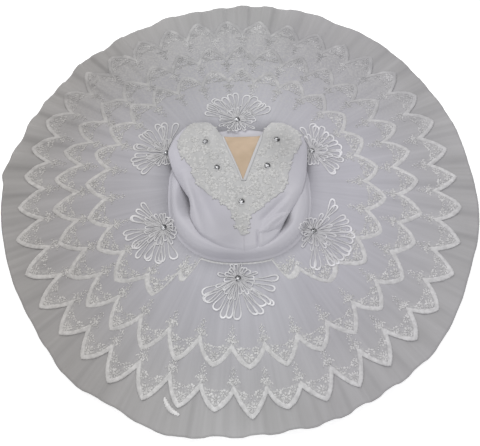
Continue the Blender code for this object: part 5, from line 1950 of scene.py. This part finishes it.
def knickers_rings():
    """Rings about the hip centre: the underside outwards, up the side, and inwards over the top."""
    angle = -np.pi + np.arange(KNICKERS_COLUMNS) * TURN / KNICKERS_COLUMNS
    inner, _, inner_z, _ = smooth_table(BASQUE_SHAPE, np.degrees(angle), 360.0)
    rings = []
    for share in np.linspace(0.02, 0.92, 40):
        x, y = hip_point(angle, share)
        z = knickers_underside(x, y) * np.clip((0.93 - share) / 0.05, 0.0, 1.0)
        rings.append(np.stack((x, y, z), axis=-1))
    table = [(i, *row) for i, row in enumerate(KNICKERS_SIDE)]
    scales, heights = smooth_table(table, np.linspace(0.0, len(table) - 1.0, 40))
    uneven = 1.0 + ripple(angle, ((5, 0.4, 0.006), (11, 2.0, 0.004)))
    for scale, z in zip(scales, heights, strict=True):
        x, y = hip_point(angle, np.minimum(scale * uneven, WIDEST))
        rings.append(np.stack((x, y, z + 0.0 * angle), axis=-1))
    rim = np.minimum(inner_z - BELOW_BASQUE, RIM_AT_MOST)
    top = ((1.0, rim), (0.90, rim + 0.002), *((share, 0.09) for share in (0.72, 0.5, 0.28, 0.03)))
    for share, highest in top:
        x, y = hip_point(angle, inner * share)
        below = bodice_surface(*bodice_place(x, y))[..., 2] - BELOW_BODICE
        rings.append(np.stack((x, y, np.minimum(below, highest)), axis=-1))
    return np.array(rings)


# %% The heap as one closed form
def knickers():
    """The rings joined by quads that face outwards, with a fan of triangles at each end."""
    rings = knickers_rings()
    count, columns = rings.shape[:2]
    here, last = np.arange(columns), (count - 1) * columns
    after = (here + 1) % columns
    sides = quads(count, columns, True)[:, ::-1]
    below = fan(after, here, count * columns)
    above = fan(here + last, after + last, count * columns + 1)
    faces = [*sides.tolist(), *below.tolist(), *above.tolist()]
    ends = [rings[0].mean(axis=0), rings[-1].mean(axis=0)]
    points = np.concatenate((rings.reshape(-1, 3), ends))
    made = add_mesh("knickers", points, faces, COTTON)
    corners = np.concatenate((sides.ravel(), below.ravel(), above.ravel()))
    unwrap(made, grid_uv(points[:, 0], points[:, 1] + points[:, 2])[corners])
    print("knickers:", count, "rings of", columns, "points")
    return wear(made, "cotton", "knickers")


knickers_piece = knickers()

# %% [markdown]
# ## What each sheet was cut from
# Every cloth is listed with the flat piece it was cut from. A net that is gathered at the waist
# is long: its length runs round the hem and its width from waist to hem. Cloth that is only laid
# down keeps its area. We measure each piece's area on the piece itself and print it with its share
# of the flat rectangle. The knickers are a heap of layers with air between them, and are not listed.


# %% Sheets and their areas
def measured_area(made):
    """Area of a piece's faces before its wall is added, in square metres."""
    areas = np.empty(len(made.data.polygons))
    made.data.polygons.foreach_get("area", areas)
    return float(areas.sum())


SHEETS = (  # piece, width, length, held, rests on, pieces sewn on
    ("net_1", 0.350, 2.95, "gathered", ["net_2", "knickers"], []),
    ("net_2", 0.342, 2.93, "gathered", ["net_3", "knickers"], []),
    ("net_3", 0.334, 2.88, "gathered", ["net_4", "knickers"], []),
    ("net_4", 0.328, 2.84, "gathered", ["floor"], []),
    ("lace_outer", 0.142, 2.77, "gathered", ["net_1"], trimmings["lace_outer"]),
    ("lace_middle", 0.230, 2.27, "gathered", ["net_1", "lace_outer"], trimmings["lace_middle"]),
    ("lace_inner", 0.162, 1.86, "gathered", ["lace_middle"], trimmings["lace_inner"]),
    ("basque", 0.085, 0.88, "laid", ["net_1", "knickers"], []),
    ("bodice_front_left", 0.150, 0.28, "laid", ["bodice_back_left"], [bindings[0]]),
    ("bodice_front_right", 0.160, 0.28, "laid", ["bodice_back_right"], [bindings[1]]),
    ("bodice_back_left", 0.140, 0.20, "laid", ["knickers"], []),
    ("bodice_back_right", 0.150, 0.20, "laid", ["knickers"], []),
    ("neck_insert", 0.095, 0.14, "laid", ["knickers"], []),
    ("plastron", 0.270, 0.26, "laid", ["bodice_front_left", "bodice_front_right"], plastron_trim),
)
for name, width, length, held, rests_on, sewn_on in SHEETS:
    area = measured_area(PIECES[name])
    share = area / width / length
    print(f"{name}: flat {width} x {length} m, area {area:.4f}, {share:.2f} of the rectangle")
